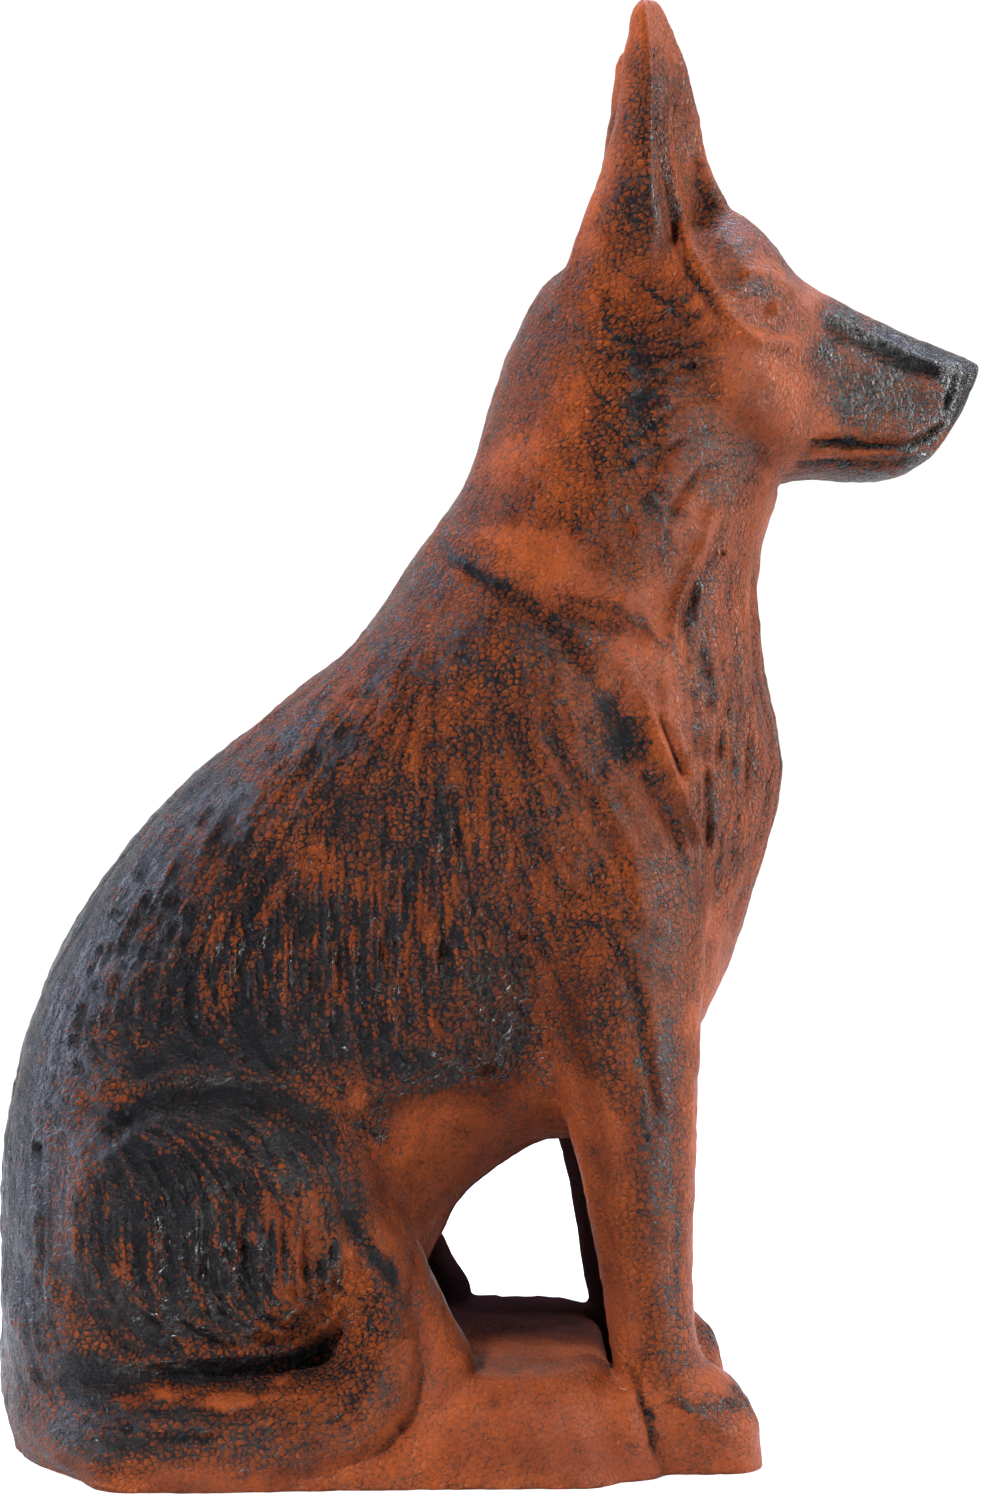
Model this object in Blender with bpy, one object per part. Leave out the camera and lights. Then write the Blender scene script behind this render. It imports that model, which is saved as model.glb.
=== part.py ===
"""Cast iron statue of a sitting shepherd dog on a low base, one casting.

The dog looks along +X, its left side is +Y, and it stands on the ground at z = 0.
Its forms are lofted from a few sections each, fused, softened, carved and reduced to flat faces.
Lengths are in millimetres and MM turns them into metres. The figure is drawn 395 mm tall, and
HEIGHT scales it, with its pose and proportions kept.
"""

import math

import bmesh
import bpy
import numpy as np
from mathutils import Vector

MM = 0.001

# Driving dimensions
HEIGHT = 395.0
DRAWN_HEIGHT = 395.0
BASE_HEIGHT = 25.0
BASE_LENGTH = 142.0
BASE_TOP_WIDTH = 97.0
BASE_FOOT_WIDTH = 117.0
BASE_CORNER = 12.0
BASE_EDGE = 7.0
BASE_END_SLOPE = 2.0
TONGUE_LENGTH = 24.0
TONGUE_WIDTH = 44.0
TONGUE_HEIGHT = 11.0

# How the casting is resolved: fusing grid, softening passes and the number of flat faces
GRID = 1.6
SOFTENING = 12
SETTLING = 2
FACES = 9400
RING_POINTS = 36
SUNK = 8.0

# Finish
PAINT_COLOUR = (0.33, 0.085, 0.03, 1.0)
PAINT_ROUGHNESS = 0.55
PAINT_METALLIC = 0.1

FIGURE = HEIGHT / DRAWN_HEIGHT
BOTH = (-1, 1)

# Sections of the body, from the seat to the head. Each is a back point and a front point in the
# side view, x and z, then the half width, the squareness and how far it widens to the front.
BODY = (
    (-132, -8, -62, -8, 44, 2.4, 0.0),
    (-136, 20, -40, 8, 49, 2.3, 0.0),
    (-137, 50, -26, 30, 51.5, 2.3, -0.05),
    (-136, 82, -15, 53, 51, 2.3, -0.05),
    (-129.5, 115.5, -6, 67, 48.5, 2.2, -0.05),
    (-113.3, 148.5, 14, 79.5, 45.5, 2.1, -0.05),
    (-91, 176.5, 40, 84.5, 43.5, 2.1, -0.03),
    (-66.8, 196.8, 63, 120, 45, 2.1, -0.08),
    (-46.2, 213.2, 77.5, 160, 46.5, 2.1, -0.1),
    (-30.7, 230.5, 82.2, 186, 44.5, 2.1, -0.06),
    (-20, 247, 77.5, 212, 40, 2.1, 0.0),
    (-8, 265, 75.5, 234, 37, 2.1, 0.0),
    (-1, 285.3, 77.5, 249, 35.5, 2.1, 0.0),
    (6, 305, 81, 262, 34.5, 2.1, 0.0),
    (14.5, 320.5, 78, 276, 32, 2.1, 0.0),
    (26, 330, 74, 292, 22, 2.1, 0.0),
)

# Sections of the head, from the nape to the nose: top point, bottom point and the rest as above
HEAD = (
    (19, 311, 44, 268, 21, 2.2, 0.0),
    (29, 329, 50, 267, 29.5, 2.2, 0.0),
    (46, 338, 60, 266, 33.5, 2.3, 0.0),
    (64, 342, 72, 265, 32.5, 2.4, 0.0),
    (75.5, 335, 82, 265.5, 28, 2.5, 0.05),
    (85, 324, 90, 266.5, 22.5, 2.5, 0.1),
    (96, 317.3, 99, 266, 18.5, 2.5, 0.1),
    (109, 310.8, 108.5, 266, 16.5, 2.6, 0.1),
    (122, 305.3, 117.7, 267.5, 14.8, 2.6, 0.05),
    (132, 302, 126.2, 273.3, 12.5, 2.5, 0.0),
    (139, 299, 133.2, 285, 8.5, 2.3, 0.0),
)

# Sections of an ear, from its root to its tip: height, back edge, front edge, middle from the
# centre line, half thickness
EAR = (
    (306, 14, 76, 16, 11),
    (325, 20, 73.5, 18, 13.5),
    (338, 25.2, 66.5, 19, 12.5),
    (350, 29.8, 60.2, 20, 10.8),
    (362, 32.8, 57.2, 20.5, 9.3),
    (374, 34.6, 54.5, 21, 7.8),
    (384, 36, 50.8, 21.5, 6),
    (391, 36.8, 48, 22, 4.4),
    (395.3, 39.2, 45.5, 22, 2.6),
)
# The outer rim lies this share of the way from the back edge to the front edge, and the hollow
# between it and the front edge is this share of the half thickness deep
EAR_RIM = 0.42
EAR_HOLLOW = 0.34

# The left foreleg stands this far behind the right one, and its paw this far
LEFT_LEG_BACK = 2.0
LEFT_PAW_BACK = 1.0

# Sections of a foreleg, from the shoulder to the ground, of a forepaw, of a shin and of a hind foot:
# first point, second point, half width, squareness, widening and the middle from the centre line
FORELEG = (
    (18, 192, 58, 202, 9, 2.2, 0.0, 20),
    (6, 158, 58.5, 168, 17, 2.2, 0.0, 24),
    (9, 126, 57, 132, 18.5, 2.2, 0.0, 28),
    (17, 97, 54.8, 99, 16.5, 2.2, 0.0, 31),
    (23, 74, 53.8, 75, 14.3, 2.3, 0.0, 33),
    (28, 50, 53.4, 51, 13, 2.4, 0.0, 33),
    (30.5, 32, 54, 33, 13, 2.4, 0.0, 33),
    (33, 16, 58, 20, 14, 2.4, 0.0, 33),
    (34, -8, 60, -8, 14, 2.4, 0.0, 33),
)
FOREPAW = (
    (36, 20, 38, -8, 13, 2.6, 0.1, 33),
    (50, 27, 50, -8, 15.5, 2.6, 0.1, 33),
    (60, 23.5, 60, -8, 16, 2.6, 0.1, 32.5),
    (67, 17.5, 67, -8, 15, 2.6, 0.1, 32),
    (70.5, 10, 70.5, -8, 11, 2.4, 0.1, 31.5),
)
SHIN = (
    (-62, 78, -28, 74, 13, 2.2, 0.0, 31),
    (-50, 54, -18.5, 54, 15, 2.3, 0.0, 35),
    (-45, 38, -11, 39, 14.5, 2.3, 0.0, 37.5),
    (-45, 25, -5.5, 27.5, 14.5, 2.4, 0.0, 38),
    (-45, 10, -8, 13, 15, 2.4, 0.0, 38),
    (-45, -8, -14, -8, 15, 2.4, 0.0, 38),
)
HIND_FOOT = (
    (-112, 30, -108, 4, 9, 2.4, 0.1, 38),
    (-92, 28, -92, -8, 11, 2.4, 0.1, 43),
    (-60, 26, -60, -8, 12, 2.4, 0.1, 44),
    (-30, 26, -30, -8, 13, 2.4, 0.1, 42),
    (-13, 22, -12, -8, 11, 2.4, 0.1, 40),
)

# The thigh is an egg-shaped mass: its centre, its half sizes along x, y and z, and the power that
# fills it out, 1 for an ellipsoid and less for a fuller form
THIGH_CENTRE = (-74, 32, 67)
THIGH_HALF = (46, 25.5, 40)
THIGH_FULLNESS = 0.82

# The tail lies round the right side: points x, y and z down its middle, and its radius there
TAIL = (
    (-124, 10, 62, 6),
    (-127, 9, 44, 10),
    (-126, 2, 26, 13),
    (-120.5, -14, 14, 15),
    (-111, -30, 11, 15.5),
    (-97, -41.5, 10.5, 16),
    (-78, -47, 10.5, 15.5),
    (-57, -47, 11.5, 14.5),
    (-38, -45.5, 17, 13.5),
    (-28, -44.5, 31, 11.5),
    (-28, -44.5, 46, 9.5),
    (-34, -45, 61, 7),
    (-40, -45, 73, 4),
)

# Carved lines seen from the side: the sides they are on, points x and z, half width and depth
SIDE_LINES = (
    # the arch over the thigh, and the fold under it
    (BOTH, ((-106, 76), (-101, 95), (-88, 104.5), (-70, 107), (-52, 103), (-42, 92)), 3.4, 3.2),
    (BOTH, ((-46, 98), (-38, 78), (-31, 58), (-25, 45)), 3.0, 2.6),
    (BOTH, ((-116, 32), (-95, 30), (-62, 31), (-47, 36), (-37, 46)), 3.0, 2.4),
    # the edge of the ruff across the neck, and its lower lock
    (BOTH, ((-16, 243), (-5, 238.5), (7, 233.5), (17, 226), (25, 213), (29, 202)), 3.4, 2.4),
    (BOTH, ((27, 204), (35, 192), (43, 178), (51, 166), (56, 150)), 3.2, 2.4),
    # the tufts behind the cheek
    (BOTH, ((31, 315), (38, 302), (42, 284), (44, 264), (41, 246)), 2.6, 1.4),
    # the long locks of the chest
    (BOTH, ((51, 264), (46, 241), (43.5, 219), (45, 199)), 2.6, 2.0),
    (BOTH, ((57, 243), (53.5, 219), (50.5, 197), (50, 176), (52, 152)), 2.6, 2.0),
    (BOTH, ((63, 232), (63, 204), (61, 176), (60, 150)), 2.4, 1.6),
    # the back of the upper arm, and the short cut at the shoulder
    (BOTH, ((12, 146), (17, 126), (22, 106), (26, 84), (30, 60)), 3.0, 2.0),
    (BOTH, ((-12.5, 182), (-10, 162)), 2.6, 1.6),
    # the mouth, and the edge of the lower lip
    (BOTH, ((84, 271.5), (92.5, 274.6), (104, 273.8), (117, 273), (123, 276), (131, 284)), 1.7, 1.7),
    (BOTH, ((84, 268.6), (104, 268.4), (117, 269)), 1.3, 0.8),
    # the edge of the ear on the cheek
    (BOTH, ((50, 330), (57, 320), (63, 311)), 2.0, 1.4),
)

# Hollows and swellings seen from the side: centre x and z, half sizes and depth, negative to swell
SIDE_HOLLOWS = (
    # eye socket, eyeball, brow and cheekbone
    (77, 308.5, 7.5, 4.6, 3.0),
    (78.5, 308.3, 3.4, 2.6, -1.9),
    (79, 316.5, 8.0, 3.0, -1.6),
    (76, 299, 10.0, 3.6, -1.0),
    # the hollow at the root of the muzzle, the hollow behind the elbow and the flank
    (96, 300, 8.0, 6.0, 1.0),
    (8, 112, 8.0, 24.0, 3.5),
    (-32, 128, 30.0, 18.0, 2.0),
    # the shoulder
    (34, 160, 22.0, 30.0, -1.6),
)

# Locks of fur in rows: first and last section of the body, and shares of the way to the front
FUR_ROWS = (
    (3, 5, (0.1, 0.22)),
    (5, 8, (0.1, 0.22, 0.34)),
    (9, 12, (0.1, 0.28, 0.46)),
)
FUR_HALF_WIDTH = 3.4
FUR_DEPTH = 1.2
FLANK_LOCKS = 7
FLANK_FROM = (-84, 158)
FLANK_STEP = (13.5, -2)
FLANK_LONG = 46
FLANK_SWAY = 5.0
# Locks down the front of the chest: places across, the line down from the throat as heights and
# shares of that place, half width and depth
CHEST_LOCKS = (-21, -7, 7, 21)
CHEST_LINE = ((1.0, 246), (1.15, 205), (1.1, 165), (0.9, 135))
CHEST_HALF_WIDTH = 3.6
CHEST_DEPTH = 1.6
# Grooves between the toes of a forepaw, across from its middle, at the front of the paw and low
TOE_LINES = (-7.0, 0.0, 7.0)
TOE_HALF_WIDTH = 1.7
TOE_DEPTH = 1.8
TOE_FROM_X = (53, 59)
TOE_BELOW_Z = (24, 19)
# How far a surface has to face the side, or the front, and lie off the centre line to be carved
SIDE_FACING = (0.12, 0.4)
SIDE_OFF = (4, 10)
FRONT_FACING = (0.35, 0.7)
LINE_ENDS = 0.12


def curve_through(points, steps):
    """Points on a smooth Catmull-Rom curve through rows of numbers, steps for each stretch."""
    rows = np.array(points, dtype=float)
    ends = np.vstack([2 * rows[0] - rows[1], rows, 2 * rows[-1] - rows[-2]])
    out = []
    for i in range(len(rows) - 1):
        a, b, c, d = ends[i : i + 4]
        for t in np.linspace(0, 1, steps, endpoint=False):
            bend = 2 * b + (c - a) * t + (2 * a - 5 * b + 4 * c - d) * t**2
            out.append(0.5 * (bend + (3 * b - a - 3 * c + d) * t**3))
    out.append(rows[-1])
    return out


def closed_curve_through(points, steps):
    """The same round a closed outline."""
    around = list(points[-1:]) + list(points) + list(points[:2])
    inner = curve_through(around, steps)
    return inner[steps : -2 * steps]


def skin(bm, rings):
    """Bridge rings of points with faces and close both ends."""
    loops = [[bm.verts.new(Vector(p) * MM) for p in ring] for ring in rings]
    count = len(loops[0])
    for low, high in zip(loops, loops[1:]):
        for i in range(count):
            j = (i + 1) % count
            bm.faces.new((low[i], low[j], high[j], high[i]))
    bm.faces.new(loops[0][::-1])
    bm.faces.new(loops[-1])


def section(x1, z1, x2, z2, half, square, widen, middle=0.0):
    """A rounded section between two points of the side view."""
    ring = []
    for angle in np.linspace(0, 2 * math.pi, RING_POINTS, endpoint=False):
        along = math.copysign(abs(math.cos(angle)) ** (2 / square), math.cos(angle))
        across = math.copysign(abs(math.sin(angle)) ** (2 / square), math.sin(angle))
        share = (1 - along) / 2
        width = half * (1 + widen * (2 * share - 1))
        x = x1 + (x2 - x1) * share
        z = z1 + (z2 - z1) * share
        ring.append((x * FIGURE, (middle + across * width) * FIGURE, z * FIGURE))
    return ring


def loft(bm, stations, side=1, back=0.0):
    """A form through sections, on the given side where the stations state their middle."""
    rings = []
    for row in curve_through(stations, 5):
        values = list(row)
        values[0] -= back
        values[2] -= back
        if len(values) > 7:
            values[7] *= side
        rings.append(section(*values))
    skin(bm, rings)


def ear(bm, side):
    """An upright pointed ear, hollow between its outer rim and its front rim."""
    rings = []
    for z, back, front, middle, thick in curve_through(EAR, 5):
        long = front - back
        rim = np.array((back + EAR_RIM * long, middle + thick))
        tip = np.array((front, middle - 0.1 * thick))
        inward = np.array((-(tip - rim)[1], (tip - rim)[0]))
        inward *= math.copysign(1, -inward[0]) / np.linalg.norm(inward)
        hollow = (rim + tip) / 2 + inward * EAR_HOLLOW * thick
        outline = (
            rim,
            rim * 0.72 + tip * 0.28 + inward * EAR_HOLLOW * thick * 0.8,
            hollow,
            rim * 0.25 + tip * 0.75 + inward * EAR_HOLLOW * thick * 0.6,
            tip,
            (front - 0.1 * long, middle - 0.6 * thick),
            (back + 0.55 * long, middle - thick),
            (back + 0.15 * long, middle - 0.7 * thick),
            (back, middle - 0.1 * thick),
            (back + 0.14 * long, middle + 0.62 * thick),
        )
        around = closed_curve_through([np.array(p) for p in outline], 4)
        rings.append([(x * FIGURE, side * y * FIGURE, z * FIGURE) for x, y in around])
    skin(bm, rings)


def thigh(bm, side):
    """The rounded mass of the thigh."""
    made = bmesh.ops.create_icosphere(bm, subdivisions=4, radius=1.0)["verts"]
    centre = Vector(THIGH_CENTRE)
    for vert in made:
        full = [math.copysign(abs(c) ** THIGH_FULLNESS, c) for c in vert.co]
        x, y, z = (c * h for c, h in zip(full, THIGH_HALF))
        place = Vector((x + centre.x, y + side * centre.y, z + centre.z))
        vert.co = place * FIGURE * MM


def tail(bm):
    """The tail, a round tube whose tip turns up in front of the thigh."""
    rows = curve_through(TAIL, 5)
    rings = []
    for i, (x, y, z, radius) in enumerate(rows):
        before = rows[max(i - 1, 0)][:3]
        after = rows[min(i + 1, len(rows) - 1)][:3]
        ahead = Vector(after) - Vector(before)
        out = ahead.cross(Vector((0, 0, 1))).normalized()
        if out.length < 0.5:
            out = Vector((0, -1, 0))
        over = out.cross(ahead).normalized()
        ring = []
        for angle in np.linspace(0, 2 * math.pi, RING_POINTS // 2, endpoint=False):
            spoke = out * math.cos(angle) + over * math.sin(angle)
            ring.append((Vector((x, y, z)) + spoke * radius) * FIGURE)
        rings.append(ring)
    skin(bm, rings)


def rounded_rectangle(middle, half_long, half_wide, corner, z):
    """A level outline with round corners."""
    ring = []
    for turn, (sx, sy) in enumerate(((1, 1), (-1, 1), (-1, -1), (1, -1))):
        for angle in np.linspace(0, math.pi / 2, 8) + turn * math.pi / 2:
            x = middle + sx * (half_long - corner) + corner * math.cos(angle)
            y = sy * (half_wide - corner) + corner * math.sin(angle)
            ring.append((x, y, z))
    return ring


def slab(bm, middle, long, top_width, foot_width, height):
    """A low block, its sides sloping out to the ground and its upper edges rounded."""
    rings = []
    steps = [(-SUNK, 0.0, 0.0), (0.0, 0.0, 0.0)]
    for angle in np.linspace(0, math.pi / 2, 5):
        rise = height - BASE_EDGE * (1 - math.sin(angle))
        steps.append((rise, BASE_EDGE * (1 - math.cos(angle)), rise / height))
    for z, shrink, share in steps:
        half_wide = (foot_width + (top_width - foot_width) * share) / 2 - shrink
        half_long = long / 2 - shrink - BASE_END_SLOPE * share
        rings.append(rounded_rectangle(middle, half_long, half_wide, BASE_CORNER, z))
    skin(bm, rings)


def base(bm):
    """The low base between the feet, as far as the forelegs, with a lower tongue that ties the paws."""
    front = FORELEG[-1][0] * FIGURE
    middle = front - BASE_LENGTH / 2
    slab(bm, middle, BASE_LENGTH, BASE_TOP_WIDTH, BASE_FOOT_WIDTH, BASE_HEIGHT)
    long = TONGUE_LENGTH + 2 * BASE_CORNER
    middle = front + TONGUE_LENGTH - long / 2
    slab(bm, middle, long, TONGUE_WIDTH, TONGUE_WIDTH, TONGUE_HEIGHT)


def fused_mesh():
    """All the forms as one closed softened mesh, sunk a little below the ground."""
    bm = bmesh.new()
    loft(bm, BODY)
    loft(bm, HEAD)
    tail(bm)
    base(bm)
    for side in BOTH:
        ear(bm, side)
        thigh(bm, side)
        left = side > 0
        loft(bm, FORELEG, side, LEFT_LEG_BACK if left else 0.0)
        loft(bm, FOREPAW, side, LEFT_PAW_BACK if left else 0.0)
        loft(bm, SHIN, side)
        loft(bm, HIND_FOOT, side)
    bmesh.ops.recalc_face_normals(bm, faces=bm.faces)
    mesh = bpy.data.meshes.new("forms")
    bm.to_mesh(mesh)
    bm.free()
    forms = bpy.data.objects.new("forms", mesh)
    bpy.context.scene.collection.objects.link(forms)
    grid = forms.modifiers.new("fuse", "REMESH")
    grid.mode = "VOXEL"
    grid.voxel_size = GRID * MM
    soften = forms.modifiers.new("soften", "SMOOTH")
    soften.factor = 0.5
    soften.iterations = SOFTENING
    return evaluated(forms)


def evaluated(thing):
    """The mesh of an object with its modifiers, and the object itself removed."""
    bpy.context.view_layer.update()
    graph = bpy.context.evaluated_depsgraph_get()
    mesh = bpy.data.meshes.new_from_object(thing.evaluated_get(graph))
    bpy.data.objects.remove(thing)
    return mesh


def ramp(value, low, high):
    """0 below low, 1 above high and a smooth rise between."""
    share = np.clip((value - low) / (high - low), 0, 1)
    return share * share * (3 - 2 * share)


def along_line(a, b, line, half_width):
    """How much of a carved line falls on each place a, b: 1 on it, 0 beside it and past its ends."""
    points = np.array(curve_through(line, 10))
    nearest = np.full(len(a), 1e9)
    where = np.zeros(len(a))
    for i, (x, z) in enumerate(points):
        away = (a - x) ** 2 + (b - z) ** 2
        closer = away < nearest
        nearest[closer] = away[closer]
        where[closer] = i / (len(points) - 1)
    ends = ramp(np.minimum(where, 1 - where), 0.0, LINE_ENDS)
    return np.exp(-nearest / half_width**2) * (0.25 + 0.75 * ends)


def fur_lines():
    """The rows of locks along the back and neck, and the locks of the flank, as side lines."""
    lines = []
    for first, last, shares in FUR_ROWS:
        for share in shares:
            line = []
            for x1, z1, x2, z2 in (row[:4] for row in BODY[first : last + 1]):
                line.append((x1 + (x2 - x1) * share, z1 + (z2 - z1) * share))
            lines.append((BOTH, line, FUR_HALF_WIDTH, FUR_DEPTH))
    for i in range(FLANK_LOCKS):
        x = FLANK_FROM[0] + FLANK_STEP[0] * i
        z = FLANK_FROM[1] + FLANK_STEP[1] * i + FLANK_SWAY * math.sin(2.3 * i)
        long = FLANK_LONG + FLANK_SWAY * math.cos(1.7 * i)
        line = ((x, z), (x + 4, z - long / 2), (x + 4 + FLANK_SWAY * math.sin(i), z - long))
        lines.append((BOTH, line, FUR_HALF_WIDTH, FUR_DEPTH))
    return lines


def carve(mesh):
    """Press the lines, hollows, locks and toes into the surface along its normals."""
    count = len(mesh.vertices)
    flat = np.empty(count * 3)
    mesh.vertices.foreach_get("co", flat)
    places = flat.reshape(count, 3) / (MM * FIGURE)
    mesh.vertices.foreach_get("normal", flat)
    normals = flat.reshape(count, 3).copy()
    mesh.vertices.foreach_get("co", flat)
    x, y, z = places.T
    depth = np.zeros(count)
    for side in BOTH:
        facing = ramp(side * normals[:, 1], *SIDE_FACING) * ramp(side * y, *SIDE_OFF)
        for sides, line, half_width, deep in SIDE_LINES + tuple(fur_lines()):
            if side in sides:
                depth += deep * facing * along_line(x, z, line, half_width)
        for cx, cz, half_x, half_z, deep in SIDE_HOLLOWS:
            near = ((x - cx) / half_x) ** 2 + ((z - cz) / half_z) ** 2
            depth += deep * facing * np.exp(-near)
    ahead = ramp(normals[:, 0], *FRONT_FACING)
    for across in CHEST_LOCKS:
        line = [(across * share, height) for share, height in CHEST_LINE]
        depth += CHEST_DEPTH * ahead * along_line(y, z, line, CHEST_HALF_WIDTH)
    high, low = TOE_BELOW_Z
    toes = ramp(-z, -high, -low) * ramp(x, *TOE_FROM_X)
    for side in BOTH:
        for across in TOE_LINES:
            off = y - side * FOREPAW[3][7] - across
            depth += TOE_DEPTH * toes * np.exp(-((off / TOE_HALF_WIDTH) ** 2))
    places -= normals * depth[:, None]
    mesh.vertices.foreach_set("co", (places * MM * FIGURE).ravel())
    mesh.update()


def reduced(mesh):
    """The same surface with about FACES triangles, flat faces laid where it is flattest."""
    thing = bpy.data.objects.new("reduced", mesh)
    bpy.context.scene.collection.objects.link(thing)
    triangles = sum(len(p.vertices) - 2 for p in mesh.polygons)
    settle = thing.modifiers.new("settle", "SMOOTH")
    settle.factor = 0.5
    settle.iterations = SETTLING
    cut = thing.modifiers.new("reduce", "DECIMATE")
    cut.ratio = FACES / triangles
    cut.use_collapse_triangulate = True
    return evaluated(thing)


def stand_on_ground(mesh):
    """Cut the mesh flat at the ground and centre it over the origin."""
    bm = bmesh.new()
    bm.from_mesh(mesh)
    geometry = bm.verts[:] + bm.edges[:] + bm.faces[:]
    bmesh.ops.bisect_plane(
        bm, geom=geometry, plane_co=(0, 0, 0), plane_no=(0, 0, -1), clear_outer=True
    )
    rim = [e for e in bm.edges if e.is_boundary]
    bmesh.ops.holes_fill(bm, edges=rim, sides=0)
    bmesh.ops.triangulate(bm, faces=[f for f in bm.faces if len(f.verts) > 3])
    xs = [v.co.x for v in bm.verts]
    ys = [v.co.y for v in bm.verts]
    middle = Vector(((max(xs) + min(xs)) / 2, (max(ys) + min(ys)) / 2, 0))
    bmesh.ops.translate(bm, verts=bm.verts, vec=-middle)
    bm.to_mesh(mesh)
    bm.free()


def iron_paint():
    """Brown paint over iron."""
    material = bpy.data.materials.new("painted cast iron")
    material.use_nodes = True
    shader = material.node_tree.nodes["Principled BSDF"]
    shader.inputs["Base Color"].default_value = PAINT_COLOUR
    shader.inputs["Roughness"].default_value = PAINT_ROUGHNESS
    shader.inputs["Metallic"].default_value = PAINT_METALLIC
    return material


def main():
    for thing in list(bpy.data.objects):
        bpy.data.objects.remove(thing)
    mesh = fused_mesh()
    carve(mesh)
    mesh = reduced(mesh)
    stand_on_ground(mesh)
    mesh.name = "dog_statue"
    mesh.materials.clear()
    mesh.materials.append(iron_paint())
    statue = bpy.data.objects.new("dog_statue", mesh)
    bpy.context.scene.collection.objects.link(statue)


main()
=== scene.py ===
"""Cast iron statue of a sitting shepherd dog, painted terracotta brown with a black patina.

The fine casting stands for the CAD solid. It is lofted from the same sections, fused on a fine
grid, combed with fur, carved, pitted and cut flat on the ground. The dog looks along +X, its left
side is +Y, and the tables are in millimetres.
"""

import itertools
import math

import bmesh
import bpy
import numpy as np
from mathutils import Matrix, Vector


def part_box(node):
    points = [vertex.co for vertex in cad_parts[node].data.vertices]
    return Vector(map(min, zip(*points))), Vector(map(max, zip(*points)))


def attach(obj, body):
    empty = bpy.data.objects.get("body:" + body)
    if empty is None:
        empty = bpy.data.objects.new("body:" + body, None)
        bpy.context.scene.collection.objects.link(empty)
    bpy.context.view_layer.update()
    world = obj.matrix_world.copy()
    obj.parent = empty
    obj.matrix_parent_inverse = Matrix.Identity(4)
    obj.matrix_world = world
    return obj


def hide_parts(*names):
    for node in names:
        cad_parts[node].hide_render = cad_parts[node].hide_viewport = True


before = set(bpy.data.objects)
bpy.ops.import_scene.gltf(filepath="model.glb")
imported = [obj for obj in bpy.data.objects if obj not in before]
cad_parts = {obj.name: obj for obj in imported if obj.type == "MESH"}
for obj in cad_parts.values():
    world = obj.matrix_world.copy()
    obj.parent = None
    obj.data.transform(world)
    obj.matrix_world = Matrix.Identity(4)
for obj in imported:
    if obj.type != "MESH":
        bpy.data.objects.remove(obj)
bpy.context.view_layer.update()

bl_info = {
    "name": "Cast iron dog statue",
    "version": (1, 0, 0),
    "blender": (4, 5, 0),
    "location": "3D View > Sidebar > Dog",
    "description": "Builds the fine casting of a sitting dog, its paint and its studio stage",
    "category": "Object",
}

NODE = "dog_statue"
FLOOR_RADIUS = 0.55
MM = 0.001
BOTH = (-1, 1)
BASE_HEIGHT = 25.0
BASE_LENGTH = 142.0
BASE_TOP_WIDTH = 97.0
BASE_FOOT_WIDTH = 117.0
BASE_CORNER = 12.0
BASE_EDGE = 7.0
BASE_END_SLOPE = 2.0
TONGUE_LENGTH = 24.0
TONGUE_WIDTH = 44.0
TONGUE_HEIGHT = 11.0
RING_POINTS = 56
SUNK = 8.0
# The left side is finished more plainly beyond this far from the middle
PLAIN_FROM = 8.0

# Sections of the body, from the seat to the head. Each is a back point and a front point in the
# side view, x and z, then the half width, the squareness and how far it widens to the front.
BODY = (
    (-132, -8, -62, -8, 44, 2.4, 0.0),
    (-136, 20, -40, 8, 49, 2.3, 0.0),
    (-137, 50, -26, 30, 51.5, 2.3, -0.05),
    (-136, 82, -15, 53, 51, 2.3, -0.05),
    (-129.5, 115.5, -6, 67, 48.5, 2.2, -0.05),
    (-113.3, 148.5, 14, 79.5, 45.5, 2.1, -0.05),
    (-91, 176.5, 40, 84.5, 43.5, 2.1, -0.03),
    (-66.8, 196.8, 63, 120, 45, 2.1, -0.08),
    (-46.2, 213.2, 77.5, 160, 46.5, 2.1, -0.1),
    (-30.7, 230.5, 82.2, 186, 44.5, 2.1, -0.06),
    (-20, 247, 77.5, 212, 40, 2.1, 0.0),
    (-8, 265, 75.5, 234, 37, 2.1, 0.0),
    (-1, 285.3, 77.5, 249, 35.5, 2.1, 0.0),
    (6, 305, 81, 262, 34.5, 2.1, 0.0),
    (14.5, 320.5, 78, 276, 32, 2.1, 0.0),
    (26, 330, 74, 292, 22, 2.1, 0.0),
)

# Sections of the head, from the nape to the nose: top point, bottom point and the rest as above
HEAD = (
    (19, 311, 44, 268, 21, 2.2, 0.0),
    (29, 329, 50, 267, 29.5, 2.2, 0.0),
    (46, 338, 60, 266, 33.5, 2.3, 0.0),
    (64, 342, 72, 265, 32.5, 2.4, 0.0),
    (75.5, 335, 82, 265.5, 28, 2.5, 0.05),
    (85, 324, 90, 266.5, 22.5, 2.5, 0.1),
    (96, 317.3, 99, 266, 18.5, 2.5, 0.1),
    (109, 310.8, 108.5, 266, 16.5, 2.6, 0.1),
    (122, 305.3, 117.7, 267.5, 14.8, 2.6, 0.05),
    (132, 302, 126.2, 273.3, 12.5, 2.5, 0.0),
    (139, 299, 133.2, 285, 8.5, 2.3, 0.0),
)

# Sections of an ear, from its root to its tip: height, back edge, front edge, middle from the
# centre line, half thickness
EAR = (
    (306, 14, 76, 16, 11),
    (325, 20, 73.5, 18, 13.5),
    (338, 25.2, 66.5, 19, 12.5),
    (350, 29.8, 60.2, 20, 10.8),
    (362, 32.8, 57.2, 20.5, 9.3),
    (374, 34.6, 54.5, 21, 7.8),
    (384, 36, 50.8, 21.5, 6),
    (391, 36.8, 48, 22, 4.4),
    (395.3, 39.2, 45.5, 22, 2.6),
)
# The outer rim lies this share of the way from the back edge to the front edge, and the hollow
# between it and the front edge is this share of the half thickness deep
EAR_RIM = 0.42
EAR_HOLLOW = 0.34

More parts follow.
